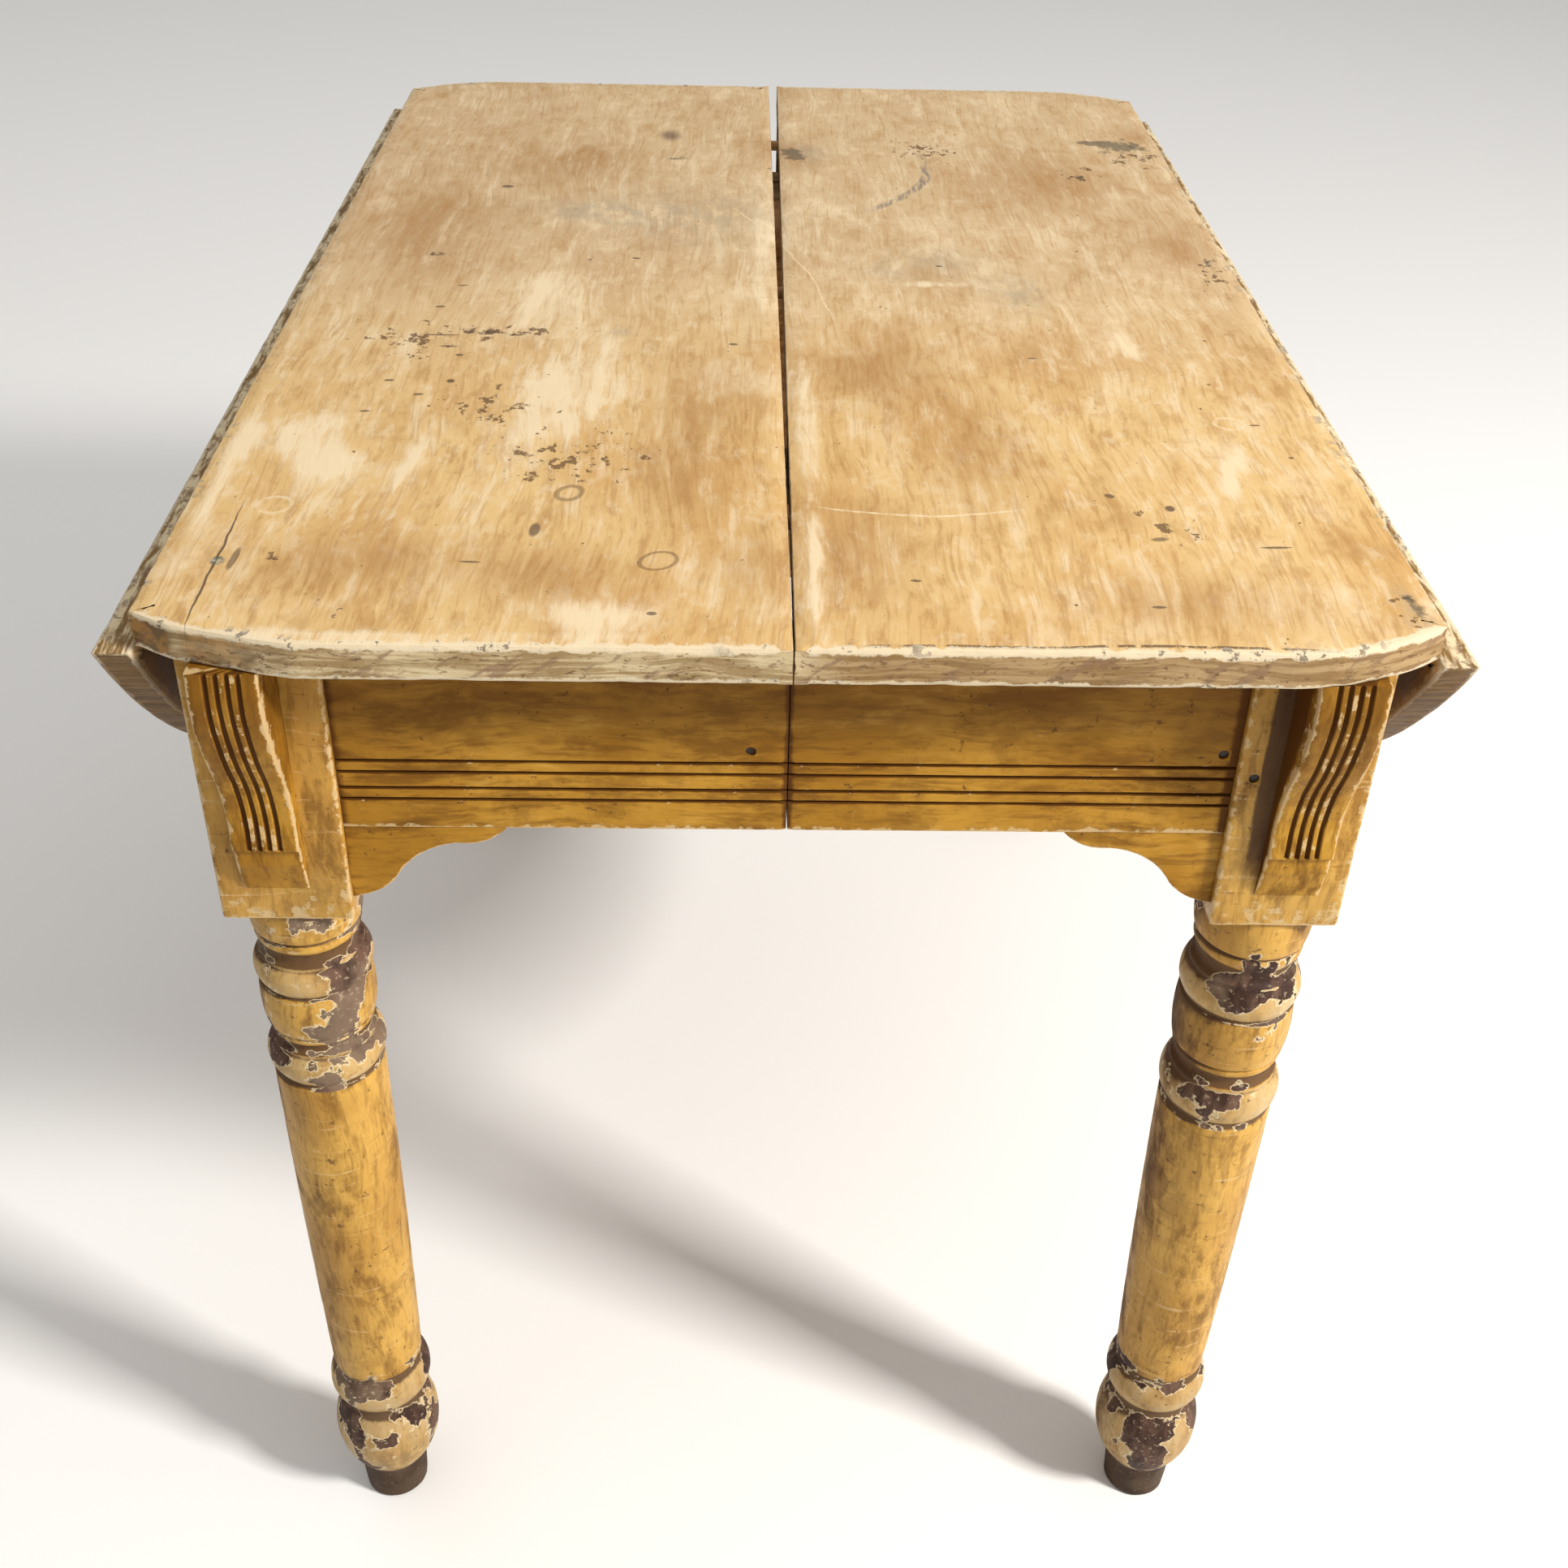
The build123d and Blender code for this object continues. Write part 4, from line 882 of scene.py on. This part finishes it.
def turning(side, end, x, y):
    """The turned length of a leg, with its rings, shaft and foot, and its values for wear, dirt and
    painted shade.
    """
    stretch, girth = (1.0, 1.0) if side < 0 else (1.21, 1.04)
    profile = turned_profile(stretch, girth)
    proud = curvature(profile, 0.006)
    broad = curvature(profile, 0.015)
    seed = side * 1.7 + end * 4.1
    shaft_top = POST_BOTTOM - HEAD_DEPTH * stretch
    around = 72
    radii = np.array([r for r, _ in profile])
    upward = np.clip(np.gradient(radii) / 0.0008, 0, 1)
    verts, edge, rim, dirt, chip = [], [], [], [], []
    for (radius, z), stands, sunk, lies in zip(profile, proud, broad, upward):
        in_head = z > shaft_top
        if in_head:
            bare = BARE_HEAD[side]
        elif z > SHAFT_END:
            bare = BARE_SHAFT
        elif z > SOLE_TOP:
            bare = BARE_BULB[side]
        else:
            bare = 1.0
        depth = (POST_BOTTOM - z) / stretch
        ringed = SOLE_TOP < z < BULB_TOP or any(a < depth < b for a, b in RING_DEPTHS)
        for k in range(around):
            angle = 2 * math.pi * k / around
            ca, sa = math.cos(angle), math.sin(angle)
            rub = max(0.0, wander(ca * 2, sa * 2, z * 60, seed))
            nick = max(0.0, wander(ca * 5, sa * 5, z * 160, seed + 9) - 0.25)
            bite = 0.0004 * rub + 0.0011 * nick * max(0.0, min(1.0, 0.3 + stands))
            r = radius - bite
            verts.append((x + r * ca, y + r * sa, z))
            edge.append(max(0.0, min(1.0, stands * 0.9)) if z > SOLE_TOP else 0.2)
            rim.append(0.75 if ringed else 0.0)
            # Painted shade down the leg's -X side, away from the light, on top of dirt in the
            # hollows and on the head's upward faces
            left_side_shade = (1.2 if ringed or in_head else 0.8) * max(0.0, -ca - 0.35)
            grime_and_shade = max(-stands * 1.2, -sunk * 0.8) + left_side_shade + (0.4 * lies if in_head else 0.0)
            dirt.append(max(0.0, min(1.0, grime_and_shade)))
            lift = 0.50 * wander(ca * 1.1, sa * 1.1, z * 22, seed + 5)
            lift += 0.22 * wander(ca * 3.0, sa * 3.0, z * 60, seed + 6) + 0.24 * lies
            chip.append(bare + (lift if bare > 0 else 0.0))
    return verts, tube(len(profile), around), {"edge": edge, "rim": rim, "dirt": dirt,
                                               "chip": chip}


def square(x, y, half, round_off):
    """Square outline with rounded corners, counter-clockwise."""
    corners = []
    for sx, sy, first in ((1, -1, -90), (1, 1, 0), (-1, 1, 90), (-1, -1, 180)):
        for k in range(4):
            turn = math.radians(first + 30 * k)
            corners.append((x + sx * (half - round_off) + round_off * math.cos(turn),
                            y + sy * (half - round_off) + round_off * math.sin(turn)))
    return dense(corners, 0.004)


for name, side in SIDES.items():
    for end_name, end in ENDS.items():
        x, y = side * (POST_OUT_X - POST / 2), end * (POST_OUT_Y - POST / 2)
        post = slab(square(x, y, POST / 2, 0.0018), POST_BOTTOM, UNDER - 0.0002,
                    lambda a, b, c: (a, b, c), arris=0.0022, wear=0.0022, cap=0.006,
                    seed=side * 3 + end, gouge=0.0003)
        # Arrises rubbed at the corners, the foot of the post chipped, and painted shadow beside the
        # corbel on the right posts
        xs, ys, zs = np.array(post[0]).T
        away = np.maximum(abs(xs - x), abs(ys - y))
        near = np.minimum(abs(xs - x), abs(ys - y))
        corner = np.clip((near - (POST / 2 - 0.006)) / 0.005, 0, 1) * (away > POST / 2 - 0.004)
        low = np.clip((POST_BOTTOM + 0.014 - zs) / 0.014, 0, 1)
        post[2]["edge"] = np.maximum(corner * 0.72, np.array(post[2]["edge"]) * (low > 0.4))
        post[2]["chip"] = 0.10 * low + 0.12 * corner - 0.1
        post[2]["rim"] = np.zeros(len(xs))
        # Painted shadow of the corbel on the right posts' face
        if side > 0:
            across = xs - POST_IN_X
            corbel_shadow = (across > 0.010) & (across < 0.024) & (end * (ys - y) > 0)
            post[2]["dirt"] = 1.1 * corbel_shadow * np.clip((zs - 0.565) / 0.05, 0, 1)
        whole = merged([post, turning(side, end, x, y)])
        label = f"{end_name}_{name}"
        leg = build("worn_leg_" + label, *whole, name + "_half", "leg_pine", ochre_leg,
                    ["leg_" + label], 38)
        if side > 0:
            nail_x, nail_z = POST_NAIL
            cut(leg, [nail_hole(nail_x, POST_OUT_Y, end, nail_z)], overlapping=True)


# ---- aprons, spandrels, corbels

GROOVES = (0.6204, 0.6274, 0.6373, 0.6443)

# Half across a groove, its middle last: (from the middle, depth, edge, dirt)
GROOVE = ((0.0024, 0.0, 0.0, 0.1), (0.0013, 0.0, 0.35, 0.3), (0.0009, 0.0003, 0.3, 0.7),
          (0.0006, 0.0015, 0.0, 1.0), (0.0, 0.0018, 0.0, 1.0))


def apron_section():
    """(depth behind the face, height, edge, darkening) round an end apron's section."""
    rows = [(0.0010, APRON_BOTTOM, 0.9, 0.0), (0.0003, APRON_BOTTOM + 0.0003, 1.0, 0.0),
            (0.0, APRON_BOTTOM + 0.0011, 0.7, 0.0), (0.0, APRON_BOTTOM + 0.006, 0.0, 0.0)]
    for z in GROOVES:
        rows += [(depth, z - off, sharp, grime_and_shade) for off, depth, sharp, grime_and_shade in GROOVE]
        rows += [(depth, z + off, sharp, grime_and_shade) for off, depth, sharp, grime_and_shade in GROOVE[-2::-1]]
    for k in range(1, 8):
        rows.append((0.0, 0.6467 + (UNDER - 0.6467) * k / 8, 0.0, 0.05))
    # Darker along the crease under the board and down the back face
    rows += [(0.0, UNDER - 0.0012, 0.0, 0.5), (0.0006, UNDER - 0.0002, 0.0, 0.6),
             (APRON - 0.0006, UNDER - 0.0002, 0.0, 0.4), (APRON, UNDER - 0.0012, 0.0, 0.4)]
    for k in range(1, 8):
        rows.append((APRON, UNDER - (UNDER - APRON_BOTTOM) * k / 8, 0.0, 0.3))
    rows += [(APRON, APRON_BOTTOM + 0.001, 0.5, 0.0), (APRON - 0.001, APRON_BOTTOM, 0.5, 0.0)]
    return rows


def end_apron(side, end, gap):
    """Half an end apron with its scratched grooves running the full length."""
    section = apron_section()
    xs = np.linspace(gap, POST_IN_X, 60)
    verts, edge, dirt = [], [], []
    for x in xs:
        to_split = max(0.0, 1 - (x - gap) / 0.0016)
        for depth, z, sharp, grime_and_shade in section:
            wobble = 0.00035 * max(0.0, wander(x * 30, z * 60, end, side * 2 + 1))
            face = depth < APRON / 2
            inset = depth + wobble * (1 if face else -1) + to_split * (0.0007 if face else -0.0007)
            verts.append((side * x, end * (APRON_OUT_Y - inset), z))
            edge.append(max(sharp, to_split * 0.3 if face else 0.0))
            # Painted shade in the gap at the post, deeper on the right half
            post_shadow = max(0.0, 1 - (POST_IN_X - x) / 0.007)
            dirt.append(max(grime_and_shade, post_shadow * (1.6 if side > 0 else 0.8), to_split * 0.9))
    faces = tube(len(xs), len(section))
    return verts, faces, {"edge": edge, "dirt": dirt, "chip": [-0.12] * len(verts)}


def three_arc(a, b, c, count=14):
    """Points on the arc through a, b and c, c left out."""
    ax, ay, bx, by, cx, cy = *a, *b, *c
    d = 2 * (ax * (by - cy) + bx * (cy - ay) + cx * (ay - by))
    ux = ((ax ** 2 + ay ** 2) * (by - cy) + (bx ** 2 + by ** 2) * (cy - ay)
          + (cx ** 2 + cy ** 2) * (ay - by)) / d
    uy = ((ax ** 2 + ay ** 2) * (cx - bx) + (bx ** 2 + by ** 2) * (ax - cx)
          + (cx ** 2 + cy ** 2) * (bx - ax)) / d
    radius = math.dist(a, (ux, uy))
    first = math.atan2(ay - uy, ax - ux)
    last = math.atan2(cy - uy, cx - ux)
    turn = (last - first + math.pi) % (2 * math.pi) - math.pi
    return arc(ux, uy, radius, first, turn, count)


def spandrel_outline(side):
    """Bracket beside a post in (x, z), counter-clockwise seen from the front."""
    spots = [(side * (POST_IN_X - a / 1000), z / 1000) for a, z in (
        (84.6, 602.0), (73.5, 593.6), (59.2, 591.9), (40.5, 586.0), (24.5, 569.1),
        (14.5, 560.2), (0.0, 556.0))]
    points = three_arc(*spots[0:3]) + three_arc(*spots[2:5]) + three_arc(*spots[4:7])
    points += [spots[6], (side * POST_IN_X, APRON_BOTTOM)]
    return points if side > 0 else points[::-1]


def spandrel_gain(x, z):
    """Little wear near the thin tip and where the bracket meets the post."""
    return max(0.08, min(1.0, (APRON_BOTTOM - z) / 0.004, 0.2 + (POST_IN_X - abs(x)) / 0.005))


# Half across a flute, its middle last: (from the middle, depth, edge, dirt)
CORBEL_INSET, CORBEL_WIDTH, FLUTE_PITCH = 0.0211, 0.0347, 0.00527
FLUTE = ((0.0017, 0.0, 0.55, 0.1), (0.0013, 0.0004, 0.3, 0.5), (0.00078, 0.0016, 0.0, 1.0),
         (0.0, 0.0020, 0.0, 1.0))
# The face beside the flutes, from a flank inwards
CORBEL_SIDE = ((0.0, 0.0012, 0.9, 0.0), (0.0003, 0.0004, 1.0, 0.0), (0.0010, 0.0, 0.7, 0.0),
               (0.0040, 0.0, 0.0, 0.0), (0.0070, 0.0, 0.0, 0.0))


def corbel(side, end):
    """Fluted corbel: rows down its height, each a strip from flank to flank."""
    swell = np.array(((32.0, 718.0), (34.0, 700.0), (26.0, 666.0), (13.5, 637.0),
                      (9.5, 615.0), (10.5, 597.0))) / 1000
    along = np.concatenate(([0], np.cumsum(np.linalg.norm(np.diff(swell, axis=0), axis=1))))
    slopes = np.gradient(swell, along, axis=0)
    points = []
    for k in range(len(swell) - 1):
        span = along[k + 1] - along[k]
        for t in np.linspace(0, 1, 12, endpoint=False):
            h00, h10 = 2 * t ** 3 - 3 * t ** 2 + 1, t ** 3 - 2 * t ** 2 + t
            h01, h11 = 3 * t ** 2 - 2 * t ** 3, t ** 3 - t ** 2
            points.append(h00 * swell[k] + h10 * span * slopes[k] + h01 * swell[k + 1]
                          + h11 * span * slopes[k + 1])
    rows = [(p, min(z, UNDER - 0.0003), 1.0) for p, z in points]
    rows += [(0.0105, 0.5978, 1.0), (0.0101, 0.5968, 0.0), (0.0078, 0.5955, 0.0),
             (0.0075, 0.5945, 0.0), (0.0072, 0.590, 0.0), (0.0070, 0.5852, 0.0),
             (0.0066, 0.5843, 0.0), (0.0036, 0.575, 0.0), (0.0005, 0.5655, 0.0)]
    inner = POST_IN_X + CORBEL_INSET
    width = CORBEL_WIDTH
    columns = list(CORBEL_SIDE)
    for flute in range(4):
        at = width / 2 + (flute - 1.5) * FLUTE_PITCH
        columns += [(at - off, *rest) for off, *rest in FLUTE]
        columns += [(at + off, *rest) for off, *rest in FLUTE[-2::-1]]
    columns += [(width - off, *rest) for off, *rest in CORBEL_SIDE[::-1]]
    verts, edge, dirt = [], [], []
    # Flank at the post, the carved face, flank at the post
    # Painted shade on the flank nearer the middle of the table, heavy on the right corbels, and
    # darkening where both flanks meet the post
    painted_shade = (0.6, 0.0) if side < 0 else (1.2, 1.0)
    strip = [(0.0, None, 0.0, painted_shade[0]), (0.0, 0.5, 0.0, painted_shade[1]), *columns,
             (width, 0.5, 0.0, 0.0), (width, None, 0.0, 0.6)]
    for stand, z, fluted in rows:
        for x, back, sharp, grime_and_shade in strip:
            if back is None:
                out = 0.0
            elif back == 0.5:
                out = max(0.0, stand - 0.0012) * 0.55
            else:
                flank = x < 0.0011 or x > width - 0.0011
                deep = back if flank else back * fluted
                rub = 0.0005 * max(0.0, wander(x * 300, z * 90, side * 3 + end, 2))
                out = max(0.0003, stand - deep - rub)
            verts.append((side * (inner + x), end * (POST_OUT_Y + out), z))
            edge.append(sharp if (fluted or sharp > 0.6) else 0.0)
            dirt.append(grime_and_shade if (fluted or back in (None, 0.5)) else 0.25)
    faces = tube(len(rows), len(strip))
    return verts, faces, {"edge": edge, "dirt": dirt, "chip": [-0.10] * len(verts)}


for name, side in SIDES.items():
    for end_name, end in ENDS.items():
        label = f"{end_name}_{name}"
        apron = build("worn_apron_" + label, *end_apron(side, end, APRON_SPLIT[end]),
                      name + "_half", "apron_pine", ochre_x, ["apron_" + label])
        x, z = APRON_NAILS[side]
        cut(apron, [nail_hole(side * x, APRON_OUT_Y, end, z)])
        bracket = slab(spandrel_outline(side), 0.0, APRON,
                       lambda a, b, c, e=end: (a, e * (APRON_OUT_Y - c), b),
                       arris=0.0006, wear=0.0006, cap=0.0018, seed=side + end * 6, gouge=0.0002,
                       gain=spandrel_gain, convex=False)
        reach = np.array(bracket[0])
        bracket[2]["chip"] = np.full(len(reach), -0.12)
        bracket[2]["dirt"] = 0.5 * np.clip(1 - (POST_IN_X - abs(reach[:, 0])) / 0.006, 0, 1)
        bracket[2]["edge"] = np.array(bracket[2]["edge"]) * (reach[:, 2] < APRON_BOTTOM - 0.003)
        build("worn_spandrel_" + label, *bracket, name + "_half", "apron_pine", ochre_x,
              ["spandrel_" + label])
        build("worn_corbel_" + label, *corbel(side, end), name + "_half", "apron_pine",
              ochre_z, ["corbel_" + label])


# ---- CAD pieces that stay

KEPT = {
    pine_x: ("runner_", "slide_tie", "dowels"),
    pine_y: ("side_apron_", "prop_catch_"),
    pine_z: ("glue_blocks_", "prop_left", "prop_right"),
    iron: ("nails_", "runner_screws_", "hinge_", "catch_screws_", "prop_lugs_", "lug_screws_",
           "prop_pin_", "tie_screws"),
}
for name, piece in nodes.items():
    matches = [(len(start), finish) for finish, starts in KEPT.items() for start in starts
               if name.startswith(start)]
    if matches:
        piece.data.materials.clear()
        piece.data.materials.append(max(matches, key=lambda m: m[0])[1])


# ---- floor, light, camera

REACH = 14
floor_mesh = bpy.data.meshes.new("floor")
floor_mesh.from_pydata([(x * REACH, y * REACH, 0) for x, y in ((-1, -1), (1, -1), (1, 1), (-1, 1))],
                       [], [(0, 1, 2, 3)])
floor = placed("floor", floor_mesh)
paper = bpy.data.materials.new("pale_floor")
paper.use_nodes = True
dull = paper.node_tree.nodes["Principled BSDF"]
dull.inputs["Base Color"].default_value = (0.93, 0.93, 0.93, 1)
dull.inputs["Roughness"].default_value = 0.9
floor_mesh.materials.append(paper)

world = bpy.data.worlds.new("studio")
bpy.context.scene.world = world
world.use_nodes = True
sky = world.node_tree
sky.nodes.clear()
path = sky.nodes.new("ShaderNodeLightPath")
pick = sky.nodes.new("ShaderNodeMixShader")
sky_out = sky.nodes.new("ShaderNodeOutputWorld")
sky.links.new(path.outputs["Is Camera Ray"], pick.inputs[0])
# A faint warm light on the table, and plain white where the camera sees past the floor
for socket, colour, strength in ((1, (1.0, 0.98, 0.95, 1), 0.12), (2, (1, 1, 1, 1), 1.0)):
    glow = sky.nodes.new("ShaderNodeBackground")
    glow.inputs["Color"].default_value = colour
    glow.inputs["Strength"].default_value = strength
    sky.links.new(glow.outputs[0], pick.inputs[socket])
sky.links.new(pick.outputs[0], sky_out.inputs[0])


def soft_light(name, at, target, size, power, tint=(1.0, 0.97, 0.92)):
    """A square soft box aimed at a point."""
    lamp = bpy.data.lights.new(name, "AREA")
    lamp.size, lamp.energy, lamp.color = size, power, tint
    box = placed(name, lamp)
    aim = (Vector(target) - Vector(at)).to_track_quat("-Z", "Y").to_matrix().to_4x4()
    box.matrix_world = Matrix.Translation(at) @ aim


soft_light("key", (2.5, -1.75, 2.6), (0.0, -0.1, 0.5), 0.55, 160.0, (1.0, 0.96, 0.90))
soft_light("ceiling", (0.0, 1.0, 4.6), (0.0, 1.0, 0.0), 12.0, 330.0, (1.0, 0.98, 0.95))
soft_light("front_fill", (0.6, -3.2, 0.9), (0.0, -0.3, 0.5), 1.6, 3.0)

EYE, FOCAL, SENSOR = (-0.0259, -1.2303, 1.1849), 42.615, 36.0
PITCH, YAW, ROLL = 0.6144, 0.0306, 0.0264
ahead = Vector((math.sin(YAW) * math.cos(PITCH), math.cos(YAW) * math.cos(PITCH),
                -math.sin(PITCH)))
level_right = Vector((math.cos(YAW), -math.sin(YAW), 0.0))
level_up = level_right.cross(ahead)
right = level_right * math.cos(ROLL) + level_up * math.sin(ROLL)
up = level_up * math.cos(ROLL) - level_right * math.sin(ROLL)
lens = bpy.data.cameras.new("camera")
lens.lens, lens.sensor_width, lens.clip_start = FOCAL, SENSOR, 0.01
camera = placed("camera", lens)
turn = Matrix((right, up, -ahead)).transposed().to_4x4()
camera.matrix_world = Matrix.Translation(EYE) @ turn
bpy.context.scene.camera = camera
bpy.context.scene.view_settings.view_transform = "Standard"
